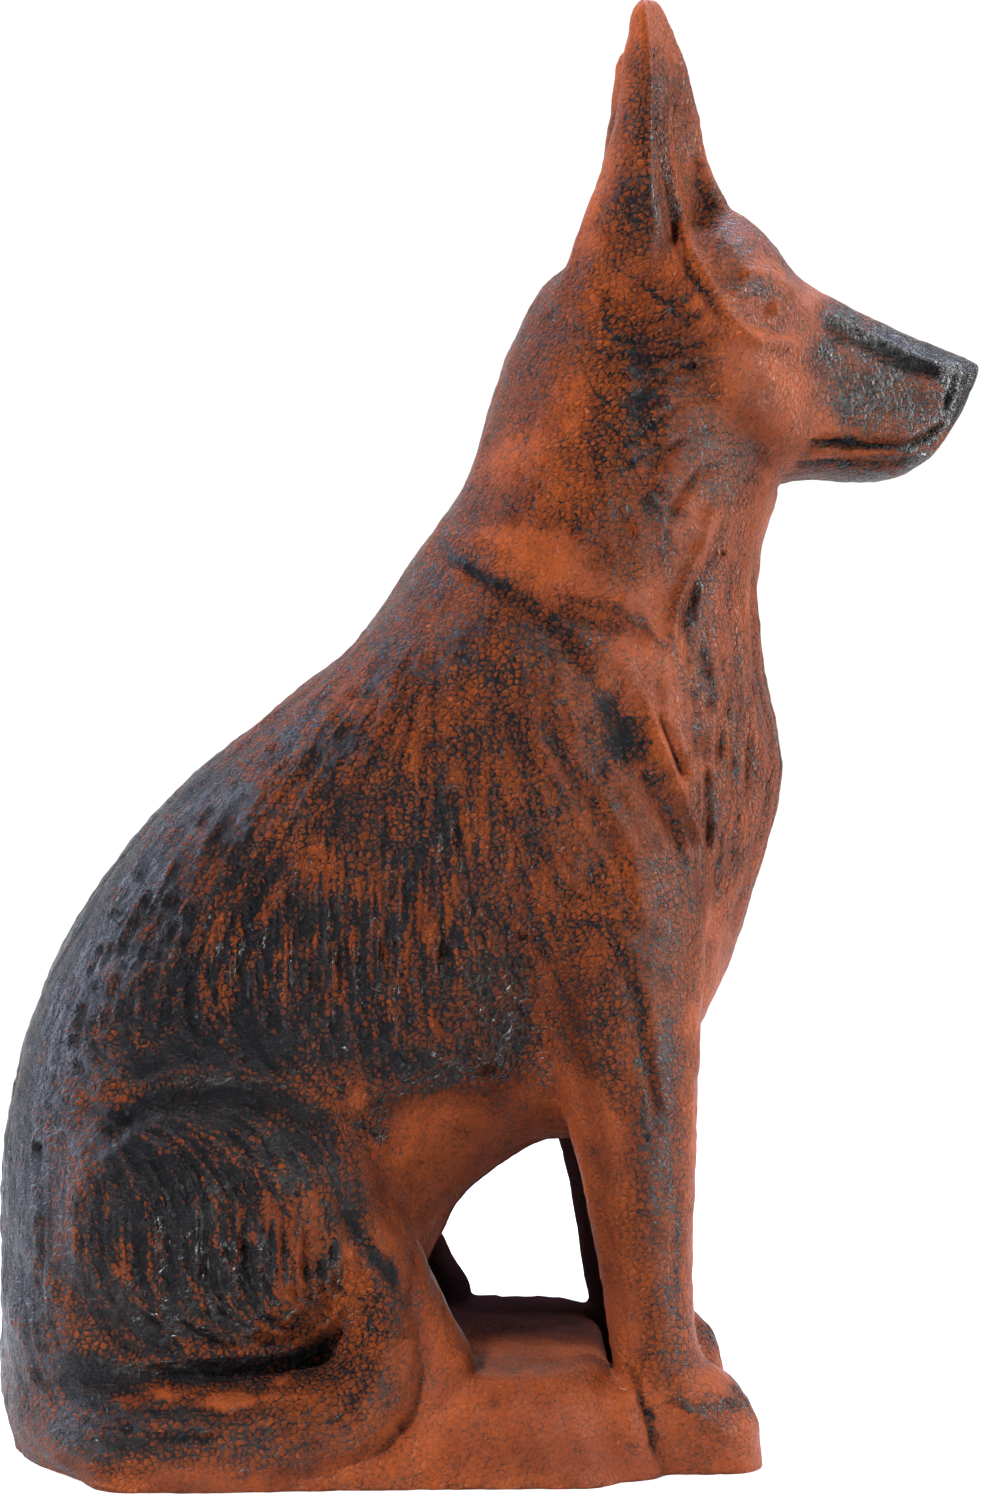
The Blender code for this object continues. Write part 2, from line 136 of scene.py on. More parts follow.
# The left foreleg stands this far behind the right one, and its paw this far
LEFT_LEG_BACK = 2.0
LEFT_PAW_BACK = 1.0

# Sections of a foreleg, from the shoulder to the ground, of a forepaw, of a shin and of a hind foot:
# first point, second point, half width, squareness, widening and the middle from the centre line
FORELEG = (
    (18, 192, 58, 202, 9, 2.2, 0.0, 20),
    (6, 158, 58.5, 168, 17, 2.2, 0.0, 24),
    (9, 126, 57, 132, 18.5, 2.2, 0.0, 28),
    (17, 97, 54.8, 99, 16.5, 2.2, 0.0, 31),
    (23, 74, 53.8, 75, 14.3, 2.3, 0.0, 33),
    (28, 50, 53.4, 51, 13, 2.4, 0.0, 33),
    (30.5, 32, 54, 33, 13, 2.4, 0.0, 33),
    (33, 16, 58, 20, 14, 2.4, 0.0, 33),
    (34, -8, 60, -8, 14, 2.4, 0.0, 33),
)
FOREPAW = (
    (36, 20, 38, -8, 13, 2.6, 0.1, 33),
    (50, 27, 50, -8, 15.5, 2.6, 0.1, 33),
    (60, 23.5, 60, -8, 16, 2.6, 0.1, 32.5),
    (67, 17.5, 67, -8, 15, 2.6, 0.1, 32),
    (70.5, 10, 70.5, -8, 11, 2.4, 0.1, 31.5),
)
SHIN = (
    (-62, 78, -28, 74, 13, 2.2, 0.0, 31),
    (-50, 54, -18.5, 54, 15, 2.3, 0.0, 35),
    (-45, 38, -11, 39, 14.5, 2.3, 0.0, 37.5),
    (-45, 25, -5.5, 27.5, 14.5, 2.4, 0.0, 38),
    (-45, 10, -8, 13, 15, 2.4, 0.0, 38),
    (-45, -8, -14, -8, 15, 2.4, 0.0, 38),
)
# The casting is filled out where the end of the base meets the foreleg
FILLET = (
    (22, -8, 46, -8, 9, 2.2, 0.0, 45),
    (25, 10, 43, 10, 7.5, 2.2, 0.0, 44.5),
    (28, 22, 40, 22, 4.5, 2.2, 0.0, 42),
)
HIND_FOOT = (
    (-112, 30, -108, 4, 9, 2.4, 0.1, 38),
    (-92, 28, -92, -8, 11, 2.4, 0.1, 43),
    (-60, 26, -60, -8, 12, 2.4, 0.1, 44),
    (-30, 26, -30, -8, 13, 2.4, 0.1, 42),
    (-13, 22, -12, -8, 11, 2.4, 0.1, 40),
)

# The thigh is an egg-shaped mass: its centre, its half sizes along x, y and z, and the power that
# fills it out, 1 for an ellipsoid and less for a fuller form
THIGH_CENTRE = (-74, 32, 67)
THIGH_HALF = (46, 25.5, 40)
THIGH_FULLNESS = 0.82

# The tail lies round the right side: points x, y and z down its middle, and its radius there
TAIL = (
    (-124, 10, 62, 6),
    (-127, 9, 44, 10),
    (-126, 2, 26, 13),
    (-120.5, -14, 14, 15),
    (-111, -30, 11, 15.5),
    (-97, -41.5, 10.5, 16),
    (-78, -47, 10.5, 15.5),
    (-57, -47, 11.5, 14.5),
    (-38, -45.5, 17, 13.5),
    (-28, -44.5, 31, 11.5),
    (-28, -44.5, 46, 9.5),
    (-34, -45, 61, 7),
    (-40, -45, 73, 4),
)

# Fur lies along these directions in the side view: a place, x and z, and a direction, x and z
FUR_LIES = (
    # nape, neck and ruff
    (2, 285, -0.35, -1), (20, 272, -0.2, -1), (40, 262, 0.05, -1), (8, 245, -0.1, -1), (30, 238, 0.1, -1),
    # the back and the rump
    (-24, 226, -0.75, -0.8), (-45, 203, -0.75, -0.85), (-70, 182, -0.8, -0.8), (-95, 160, -0.6, -1),
    (-116, 135, -0.45, -1), (-127, 100, -0.18, -1), (-131, 60, 0, -1), (-129, 30, 0.1, -1),
    # the shoulder and the upper arm, fanned out from under the ruff
    (-25, 192, -0.3, -1), (-10, 180, 0, -1), (0, 205, 0.1, -1), (14, 188, 0.35, -1), (27, 172, 0.5, -1),
    (36, 155, 0.4, -1), (4, 165, 0.25, -1), (12, 145, 0.35, -1), (27, 135, 0.25, -1), (42, 130, 0.1, -1),
    # the flank and the belly
    (-30, 152, -0.08, -1), (-52, 152, -0.14, -1), (-76, 148, -0.28, -1), (-92, 128, -0.25, -1),
    (-52, 122, -0.02, -1), (-25, 118, 0.16, -1), (-2, 118, 0.35, -1), (2, 98, 0.8, -0.5),
    # the thigh, with the arch over it and the fold under it
    (-104, 70, -0.05, -1), (-100, 50, 0.15, -1), (-86, 78, 0.0, -1), (-80, 55, 0.05, -1), (-66, 78, 0.12, -1),
    (-62, 55, 0, -1), (-50, 74, 0.2, -1), (-47, 55, -0.12, -1), (-95, 94, 0.9, 0.45), (-75, 98, 1, 0),
    (-58, 95, 1, -0.3), (-85, 36, 1, -0.1), (-60, 36, 1, 0.15),
    # the tail, the shin and the hind foot
    (-105, 15, 1, 0.1), (-75, 14, 1, 0), (-48, 17, 1, 0.3), (-33, 28, 0.45, 0.9), (-26, 48, -0.1, 1),
    (-24, 66, 0.2, -1),
    # the foreleg and the forepaw
    (36, 105, 0.12, -1), (40, 75, 0.1, -1), (44, 40, 0.05, -1), (60, 14, 0.9, -0.5),
    # the chest and the throat
    (58, 240, -0.15, -1), (60, 210, 0, -1), (62, 185, -0.03, -1), (58, 160, -0.12, -1),
    # the cheek, the muzzle, the forehead and the ear
    (58, 292, 1, 0.1), (50, 304, 0.9, 0.6), (48, 280, 0.95, -0.1), (46, 266, 0.8, 0.6), (108, 288, 1, 0),
    (68, 325, 1, -0.5), (40, 345, -0.05, -1), (44, 375, 0, -1), (40, 318, 0.5, -0.8),
)
FUR_REACH = 13.0

# How deep the fur is combed: a place, x and z, half sizes and depth
FUR_DEPTHS = (
    (-45, 138, 55, 30, 0.85), (-105, 140, 28, 50, 0.32), (-75, 62, 34, 28, 0.95), (5, 165, 32, 36, 0.55),
    (-40, 195, 34, 24, 0.42), (61, 190, 16, 46, 0.4), (42, 288, 13, 24, 0.45), (-80, 18, 50, 8, 0.42),
    (20, 262, 28, 22, 0.2), (-130, 60, 14, 60, 0.35),
)
FUR_LEAST = 0.1
# Ways, in degrees from upright, in which the finest strands of the material are drawn, and their
# size: a noise of this width, so many times as long
STRAND_TURNS = range(0, 180, 30)
FINE_STRAND = 0.0015
STRAND_STRETCH = 10
# A lump of the skin is so many grains wide, and the patina starts from this level
LUMP_GRAINS = 2.1
LEVEL_START = -0.21
LOCK_WIDE = 2.0
LOCK_LONG = 17.0
HAIR_WIDE = 1.2
HAIR_LONG = 9.0

# Carved lines in the side view: points x and z, half width and depth, with a ridge as a negative depth
LINES = (
    # the arch over the thigh, its upper lip, the front of the thigh and the fold under it
    (((-108, 84), (-100.5, 92.5), (-93, 97), (-84.7, 99.5), (-74, 100.2), (-63.7, 99), (-54.9, 96.5), (-47, 91), (-43, 83)), 2.8, 2.1),
    (((-104, 96), (-93.4, 102), (-84.7, 105), (-74, 106), (-63.7, 105), (-54, 102.5), (-45, 97), (-40, 89)), 2.0, -1.2),
    (((-45, 92), (-42.6, 76.5), (-39.1, 67.7), (-33.9, 60.5), (-28.7, 54.6), (-25.3, 46.5)), 2.2, 2.0),
    (((-104, 31.5), (-92.8, 32), (-81.6, 32.4), (-68.8, 33), (-56, 34.2), (-45, 40), (-39.5, 47), (-37, 54)), 1.3, -1.3),
    (((-112, 26), (-92.8, 27.2), (-81.6, 27.2), (-68.8, 27.8), (-55, 29.5), (-43, 35), (-36.5, 43), (-34, 52)), 1.7, 1.3),
    # hollows between the locks of the thigh
    (((-76, 72), (-75, 60), (-76.5, 50)), 2.4, 1.5), (((-66, 66), (-65, 55), (-66, 43)), 2.8, 1.7),
    (((-83, 66), (-82.5, 54)), 1.7, 1.1), (((-58, 74), (-55.5, 62)), 1.8, 1.1), (((-71, 78), (-69.5, 68)), 1.6, 0.9),
    (((-91, 70), (-90, 55)), 1.6, 0.8), (((-51, 66), (-50, 52)), 1.5, 0.9), (((-72, 50), (-70, 42)), 1.6, 1.0),
    # the tail's rise beside the shin and its tuft
    (((-22, 60), (-21.5, 46), (-19.5, 33), (-21, 21), (-27, 12), (-34, 6)), 2.0, 1.5),
    (((-100, 20.5), (-80, 21), (-62, 20)), 1.3, 0.7), (((-92, 15), (-72, 14.5)), 1.2, 0.6),
    (((-58, 15.5), (-42, 18), (-34, 27)), 1.2, 0.6),
    # the edge of the ruff across the neck: the fold, the soft step over it and the lower lock
    (((-17, 243.5), (-8.9, 240.2), (-2.3, 236.1), (4.1, 231), (11.1, 226), (16.8, 220), (22.1, 213.6), (26, 205)), 2.4, 1.3),
    (((-14, 249), (-3, 246), (5, 242), (14, 237.5), (24, 233.5), (34, 230), (44, 226)), 4.2, -1.2),
    (((12, 228.5), (22, 225.5), (34, 221), (44, 217)), 2.4, 1.0),
    (((27, 206), (33, 199), (35, 192), (38, 184)), 4.0, 1.8), (((38, 186), (43, 176), (48, 166), (53, 154)), 2.0, 1.5),
    # the ridge that bounds the chest, and the ridge down from under the jaw
    (((37, 208), (41, 198.5), (44, 191), (46.8, 184), (49.6, 176.5), (53, 168), (56.5, 160)), 1.5, -1.5),
    (((43.5, 199), (47, 190), (50, 182)), 1.1, 1.3),
    (((60, 258), (58.4, 251), (56.2, 244.7), (53.4, 238.7), (50.4, 232.3), (48.3, 226.3), (47.4, 214)), 1.3, -1.1),
    (((64, 257), (61, 247), (57.5, 239), (54, 231.5), (51.8, 224), (51, 214)), 2.0, 1.2),
    # the slots between the long locks of the chest
    (((55, 219), (57.2, 211), (58.2, 205), (57, 195)), 1.1, 0.8), (((65, 208), (62.8, 198), (61, 191), (61.4, 182)), 1.1, 0.8),
    (((68, 203), (66.4, 195), (65.4, 186), (64, 176)), 1.0, 0.7), (((58.5, 188), (56.5, 179), (57.5, 169), (56, 158)), 1.2, 0.8),
    (((50.5, 176), (52, 166), (54.5, 154), (55, 142)), 1.0, 0.8), (((53, 207), (52.5, 197), (53.5, 186)), 1.0, 0.7),
    (((68, 236), (67.2, 222), (68, 208)), 1.2, 0.7), (((72, 214), (70.5, 198), (69, 180)), 1.2, 0.8),
    (((62.5, 170), (60.5, 156), (60, 142)), 1.2, 0.8),
    # the short cut and the folds at the shoulder
    (((-12.6, 181), (-11.5, 172.4), (-11.2, 163)), 1.9, 1.9), (((-24, 196), (-14, 192), (-3, 193)), 2.2, 0.9),
    (((1, 205), (4, 196), (10, 186), (17, 176)), 1.6, 0.8), (((-4, 192), (0, 180), (6, 168)), 1.5, 0.7),
    (((14, 196), (20, 184), (28, 172), (34, 160)), 1.6, 0.9), (((9, 170), (14, 158), (20, 148)), 1.5, 0.7),
    # the elbow: the bulge behind it and the line down the leg
    (((0, 138), (6, 139.5), (11, 138), (15.8, 132.5), (18, 125.9), (19.5, 116), (21, 106)), 1.7, 1.3),
    (((29.1, 143.1), (31.4, 138.4), (34, 133), (37.1, 124), (38.7, 113.6), (41.3, 100.4), (43.7, 84.6)), 1.5, 1.1),
    (((17, 126), (22, 108), (26.5, 92), (30.4, 68.3), (33.8, 54), (35.6, 39), (36.8, 28)), 1.3, -1.4),
    (((50, 120), (49, 100), (48.5, 80), (48, 60), (47.7, 44)), 1.8, 0.4),
    # the folds of the belly
    (((-25.5, 113), (-16, 107), (-6, 103), (3, 104)), 1.8, 0.8), (((-34, 98), (-28, 90), (-26, 80)), 2.6, 0.9),
    # the ear: the fold in front of its outer rim, down to the cheek, and the rim itself
    (((42.9, 387), (43.6, 377), (44.3, 357.6), (46.8, 344.7), (49.1, 333.5), (50, 326), (52.3, 319), (56.5, 311.5), (61, 305), (65, 301)), 0.9, 1.0),
    (((45.3, 384), (46.3, 372), (47, 357), (49.6, 344), (52, 334), (53, 327), (55.4, 320), (59.5, 313), (64, 306.5)), 1.5, -0.9),
    # tufts behind the cheek, swept back and down
    (((58, 316), (50, 309), (44, 305), (36, 303)), 1.1, 0.9), (((60, 309.5), (51, 304), (42, 300), (33, 299.5)), 1.1, 0.9),
    (((62, 302), (52, 297.5), (43, 294), (35, 292.5)), 1.1, 0.9), (((60, 293), (50, 291.5), (42, 287.5), (36, 283)), 1.1, 0.8),
    (((62, 284.5), (52, 283), (44, 278), (37, 272)), 1.1, 0.8), (((62, 276), (52, 273.5), (45, 267.5), (39, 260)), 1.2, 0.9),
    (((64, 267), (56, 264), (50, 257), (46, 248)), 1.3, 0.9), (((54, 318), (46, 313), (38, 311)), 1.1, 0.7),
    (((37, 308), (40, 300), (41.5, 291), (40.5, 281), (42.5, 271), (44, 262)), 2.6, 1.0),
    # the brow, the eyelids and the cheekbone
    (((66, 317), (72, 318.6), (78, 317.4), (84, 313)), 2.3, -1.1),
    (((70, 312.4), (73, 313.4), (76.5, 313.2), (80, 311.8)), 1.0, 0.6),
    (((61, 308.5), (64.5, 304.5), (68.5, 301.4), (73, 299.6), (78.5, 299.8), (84.5, 298.2)), 1.8, -1.5),
    (((66, 307), (70, 304.4), (75, 303.2), (80, 303.6)), 1.5, 0.7),
    # the muzzle: the edge of its top, its root and the crease beside the nose
    (((90, 309.5), (97.5, 305.2), (104.7, 302), (112.6, 298.4), (120.8, 295), (130, 291.5)), 2.0, 0.9),
    (((90, 312.5), (97.5, 308.6), (104.7, 305.6), (112.6, 302), (120.8, 298.4), (132.4, 294.5)), 1.4, -0.7),
    (((91.5, 309), (90, 300.8), (89, 290.8), (88.8, 281)), 2.4, 0.7),
    (((130.5, 296), (129, 291), (127, 286.5), (127.5, 283)), 0.9, 0.8),
    # the mouth, the lip and the jaw
    (((85.3, 271.6), (90.7, 274.4), (96.5, 274.2), (104.6, 273.7), (112.7, 273.9), (119.2, 275.5), (124.5, 279), (129, 283.5)), 1.0, 1.7),
    (((88, 278), (97, 277.4), (106, 277), (115, 277.4), (121, 280)), 1.6, -0.6),
    (((88, 271.9), (97, 271.9), (107, 271.4), (116, 272.2), (122, 274.6)), 0.9, -0.5),
    (((85.9, 269.3), (93.1, 269.6), (101.9, 269.5), (108, 269), (113.2, 269.6), (119, 271)), 0.8, 0.9),
    (((80, 272), (86, 271), (84, 266)), 1.4, 0.6),
    # the groove between the base and the foreleg, its thin seam, and the edge of the base
    (((34.7, 25), (36.4, 20), (38.6, 14), (40.2, 4)), 1.0, -0.5), (((37.5, 22), (39.5, 15), (41.5, 6)), 1.5, 1.3),
    # the wrist
    (((50, 30), (46, 26), (42, 25)), 1.6, 0.6), (((66, 20), (60, 18.5), (54, 20)), 1.8, 0.4),
)

# Hollows and swellings in the side view: centre x and z, half sizes and depth
HOLLOWS = (
    # the socket, the ball of the eye, the temple and the hollow at the root of the muzzle
    (75.5, 308.6, 6.6, 4.0, 1.7), (77.4, 309.4, 1.3, 2.4, -1.7), (68, 311, 6, 5, 0.4), (93, 300, 6, 7, 0.9),
    # the hollow inside the ear, near its root
    (57.3, 337, 3.2, 7.5, 1.3), (56, 352, 2.4, 12, 0.6),
    # the side of the muzzle, the nostril and the soft cheek
    (108, 288, 16, 8, 0.7), (133.6, 292.2, 2.0, 1.5, 1.3), (130.5, 297, 4.0, 3.0, -0.5), (76, 288, 9, 10, -0.6),
    # behind the elbow, the bulge of the armpit, the flank and the shoulder
    (7, 112, 8, 22, 3.0), (8, 130, 7, 7, -1.5), (-32, 128, 30, 18, 1.6), (34, 160, 22, 30, -1.4),
    # the upper edge of the shoulder blade, the hollow before the thigh and the hock
    (-20, 205, 12, 9, -0.7), (-34, 84, 8, 12, 1.0), (-17, 30, 7, 9, 0.5), (34, 194, 8, 9, 1.4),
)

# Pinholes of the casting: place x and z, half width and depth
PINHOLES = (
    (62.7, 242.7, 0.8, 1.5), (-122.1, 84.4, 0.9, 1.8), (-95.6, 16, 0.8, 1.5), (-24.3, 14.5, 0.6, 1.3),
    (73.5, 176, 0.5, 0.8), (52.5, 116, 0.5, 0.8), (39.5, 88, 0.5, 0.7), (-2, 262, 0.5, 0.7),
    (22, 151, 0.6, 0.8), (-47, 26, 0.5, 0.7),
)

# Locks down the front of the chest and toes of the forepaws, as in the solid
CHEST_LOCKS = (-24, -16, -8.5, 0, 8.5, 16, 24)
CHEST_LINE = ((0.95, 250), (1.12, 205), (1.08, 165), (0.9, 135))
TOE_LINES = (-7.0, 0.0, 7.0)

# Where the black patina lies in the side view: place x and z, half sizes and strength, less where
# the strength is negative
PATINA = (
    # the rump, the back and the flank
    (-128, 75, 14, 66, 1.0), (-116, 128, 20, 32, 1.0), (-98, 150, 20, 24, 0.98), (-80, 172, 20, 14, 0.85),
    (-50, 190, 22, 12, 0.62), (-28, 212, 14, 14, 0.5), (-88, 132, 22, 30, 0.96), (-64, 142, 20, 24, 0.74), (-44, 172, 20, 14, 0.6),
    (-38, 138, 18, 22, 0.62), (-70, 113, 34, 12, 0.95), (-38, 114, 18, 7, 0.85), (-24, 165, 26, 20, 0.6),
    (-8, 140, 16, 26, 0.55), (6, 168, 20, 22, 0.42),
    # the thigh, its arch and its fold
    (-84, 64, 32, 36, 1.0), (-66, 56, 14, 18, 0.95), (-74, 94, 36, 12, 0.88), (-84, 106, 24, 6, 0.95), (-56, 82, 16, 14, 0.98),
    (-44, 62, 10, 20, 0.75), (-74, 30, 40, 6, 0.85), (-108, 26, 16, 10, 0.98), (-48, 40, 9, 8, 0.45),
    # the belly
    (-27, 108, 9, 9, 0.7), (-12, 106, 14, 6, 0.6), (2, 112, 8, 8, 0.45), (-2, 128, 14, 12, 0.5),
    # the tail and the tail's tip
    (-104, 15, 20, 8, 0.85), (-84, 16, 18, 7, 0.62), (-60, 15, 20, 8, 0.42), (-36, 26, 12, 14, 0.42),
    (-30, 44, 6, 14, 0.5),
    # the neck, the shoulder and the upper arm
    (14, 290, 18, 22, 0.09), (12, 262, 20, 12, 0.07), (32, 248, 14, 14, 0.36), (-4, 220, 22, 12, 0.4),
    (0, 200, 24, 18, 0.28), (22, 176, 20, 18, 0.3), (22, 150, 18, 18, 0.42), (42, 145, 12, 20, 0.5),
    (18, 218, 14, 10, 0.42), (28, 124, 14, 20, 0.42),
    # the chest and the throat
    (60, 195, 9, 24, 0.24), (58, 165, 9, 16, 0.28), (54, 225, 6, 14, 0.26), (62, 262, 14, 8, 0.26),
    # the foreleg
    (42, 100, 9, 24, 0.36), (42, 60, 9, 26, 0.26), (46, 32, 8, 12, 0.2), (60, 14, 12, 8, 0.14),
    # the tufts behind the cheek, the ear and the forehead
    (40, 288, 14, 20, 0.42), (52, 286, 10, 14, 0.3), (40, 334, 12, 12, 0.3), (41, 360, 7, 20, 0.24),
    (62, 330, 8, 12, 0.3), (60, 270, 12, 8, 0.32), (54, 360, 4, 26, 0.16),
    # the muzzle, the nose and the mouth
    (98, 310, 7, 5, 0.9), (110, 304, 10, 6, 1.1), (122, 299, 10, 6, 1.15), (133, 296, 7, 6, 1.2),
    (131, 286, 5, 10, 1.05), (110, 287, 18, 10, 0.52), (94, 294, 5, 10, 0.42), (106, 265.5, 20, 2.4, 0.7),
    (122, 270, 8, 4, 0.8),
    # bare paint: the cheek and the lip, the back of the leg, the base and the shin
    (76, 286, 12, 12, -0.4), (104, 271.5, 14, 1.2, -0.6), (-16, 84, 14, 14, -0.3),
    (2, 12, 34, 14, -0.22), (-20, 40, 10, 22, -0.15), (28, 60, 8, 60, -0.1), (16, 244, 24, 6, -0.2),
)

# Smaller dabs of it on the right side, in the same terms, and its strokes there: points x and z,
# half width and strength
PATINA_DABS = (
    # orange flecks on the flank and the rump
    (-79.7, 167.4, 3.2, 3.2, -0.35), (-93.6, 142.8, 3.7, 5.3, -0.25), (-92.4, 131.3, 2.6, 5.3, -0.25),
    (-79.3, 138.6, 3.7, 4.2, -0.3), (-68.4, 143.2, 3.2, 5.8, -0.3), (-70.5, 125.3, 2.1, 4.7, -0.4),
    (-61.2, 150.4, 3.2, 4.2, -0.3), (-49.8, 161.2, 4.2, 4.2, -0.3), (-106, 115, 1.6, 1.8, -0.5),
    (-104.2, 129.5, 2.4, 2.7, -0.3), (-108.9, 98.9, 1.6, 2.6, -0.25), (-84.5, 123.9, 2.1, 4.2, -0.3),
    (-41.3, 134.1, 2.1, 10.5, -0.3), (-26.8, 142.1, 3.7, 15.8, -0.3), (-34.7, 115.9, 3.7, 3.1, -0.45),
    (-24.2, 113.1, 3.7, 3.7, -0.35), (-37.2, 96.3, 2.6, 3.7, -0.55), (-61.3, 100.2, 2.6, 1.3, -0.38),
    (-57.6, 93.8, 2.1, 3.1, -0.4), (-100.1, 98.3, 3.7, 1.8, -0.35), (-51.6, 108.4, 15.7, 3.7, 0.16),
    (-41.2, 118.5, 10.5, 3.7, 0.13),
    # orange patches rubbed free on the thigh
    (-66.9, 71.8, 3.6, 5.1, -0.4), (-59.3, 70.9, 2.6, 5.1, -0.4), (-47.9, 74.2, 5.7, 5.1, -0.35),
    (-49.7, 64, 5.6, 5.6, -0.3), (-55.6, 53.3, 4.1, 8.7, -0.3), (-39.1, 58.6, 2.6, 6.2, -0.45),
    (-87.4, 61.6, 1.5, 3.6, -0.45), (-93.6, 75.5, 2, 3.6, -0.35), (-79.8, 50.6, 2.3, 3.6, -0.4),
    (-97.1, 56.9, 1.8, 6.7, -0.35), (-64.1, 64.6, 2.3, 2, -0.6), (-46, 47.1, 3.6, 4.1, -0.35),
    # scales of bare paint on the tail
    (-97.9, 22.1, 4.1, 1.3, -0.52), (-85.3, 24.2, 5.1, 1.3, -0.6), (-69.6, 22.6, 5.6, 1.8, -0.68),
    (-56.9, 25.3, 2.8, 2.3, -0.6),
    # the blob under the ruff, and the bare lump in it
    (33, 190.8, 6.3, 6.8, 0.55), (28.3, 201.1, 3.7, 2.4, 0.4), (35.1, 201.1, 2.4, 2.4, -0.6),
    (43.4, 181.5, 3.2, 4.2, 0.4), (37.7, 213.1, 7.4, 4.2, -0.4),
    # dull patches on the neck
    (13.2, 248.4, 3.2, 3.7, 0.26), (22.1, 249, 3.2, 3.2, 0.21), (42.6, 254.5, 3.7, 4.3, 0.29),
    (45.9, 259.9, 2.4, 2.7, 0.33), (45.3, 243.6, 2.4, 3.2, 0.29), (5.3, 251.3, 2.1, 2.1, 0.2),
    (27.7, 240.1, 6.9, 3.2, 0.1), (49.2, 226.9, 2.7, 6.9, 0.1), (6.5, 236.3, 10.6, 3.7, -0.3),
    (24.8, 226.6, 10.5, 3.7, -0.3), (38, 218.6, 7.9, 2.6, -0.2),
    # streaks and spots of the shoulder
    (14.3, 189.5, 1.8, 3.1, 0.26), (24.9, 183.7, 2.1, 2.1, 0.26), (32.4, 174.2, 3.1, 2.6, 0.29),
    (8.6, 173.3, 2.3, 1.8, 0.26), (15.7, 172.5, 1.6, 3.1, 0.26), (-0, 170.6, 3.7, 5.7, 0.26),
    (7.3, 165.1, 2.6, 2.1, 0.26), (14.4, 161.7, 3.1, 2.1, 0.26), (-16, 169.8, 3.1, 8.9, 0.33),
    (0.8, 209.2, 5.2, 2.6, 0.2), (2.4, 232.2, 3.2, 3.7, 0.2),
    (12.7, 218.5, 5.8, 4.2, 0.16), (32.2, 142.3, 6.8, 5.2, 0.13), (27.2, 157.9, 7.9, 6.3, 0.1),
    (44.5, 160.4, 4.2, 6.3, 0.2),
    # the tufts behind the cheek
    (31.5, 305.4, 2.4, 3.2, 0.45), (40.4, 315, 3.2, 2.7, 0.29), (35.6, 296.1, 3.7, 2.7, 0.29),
    (38.6, 283.2, 2.4, 5.9, 0.39), (27.9, 276.5, 3.2, 5.9, 0.2), (31, 266.5, 4.3, 2.7, 0.2),
    (44, 256.4, 3.2, 5.3, 0.26), (34.4, 313.6, 2.7, 2.2, -0.3), (54.9, 276.8, 6.4, 3.2, 0.1),
    (25.2, 264.4, 8, 8, 0.07),
    # the root of the ear, the hollow of the ear and the brow
    (39, 334.5, 7, 5.9, 0.21), (44.4, 334, 3.2, 4.3, 0.14), (58.5, 339.2, 2.7, 6, 0.12), (71.2, 315.3, 4, 3.2, 0.5),
    (64.7, 313.8, 4.8, 2.4, 0.23), (39.1, 351.6, 4.3, 7, 0.23), (43.2, 362.5, 2.4, 8.1, 0.2),
    (67.9, 326.6, 5.4, 3.8, 0.1),
    # the side of the muzzle and the throat
    (97.8, 284.8, 2.5, 3.8, 0.29), (92, 299.7, 2.7, 2.7, 0.26), (88.6, 288.6, 1.6, 6, 0.1),
    (112.8, 294.4, 4.4, 2.2, 0.23), (127.2, 289.8, 3.9, 7.7, 0.33), (119.9, 279.8, 5.5, 2.8, 0.26),
    (103.9, 286.2, 8.2, 4.4, 0.07), (71.7, 270.9, 6, 2.4, 0.26), (106.6, 299, 2.7, 1.4, -0.35),
    (120, 293.7, 3.3, 1.1, -0.4), (95.1, 299.4, 1.9, 1.4, -0.4),
    # the chest
    (54.7, 212.3, 2.7, 8, 0.1), (57.9, 205.6, 1.6, 5.3, 0.12), (66.1, 197.6, 2.1, 10.7, 0.13),
    (52.1, 224.3, 2.7, 5.3, 0.1),
    # the leg and the paw
    (30.1, 103.1, 2.3, 7.8, 0.26), (44.9, 113.3, 2.1, 10.4, 0.29), (46, 94.9, 1.8, 6.3, 0.26),
    (26.9, 118.8, 3.6, 7.8, 0.13), (37.4, 69, 5.2, 10.4, 0.08),
    # a dab on the base and the folds of the belly
    (-1.5, 19.8, 4.4, 3.1, 0.49), (-25.5, 107.8, 5.8, 3.2, 0.29), (-14.9, 100.7, 7.9, 2.1, 0.26),
    (-29.4, 97.3, 4.7, 3.7, 0.26), (-4.3, 97.6, 6.9, 1.6, 0.2),
)
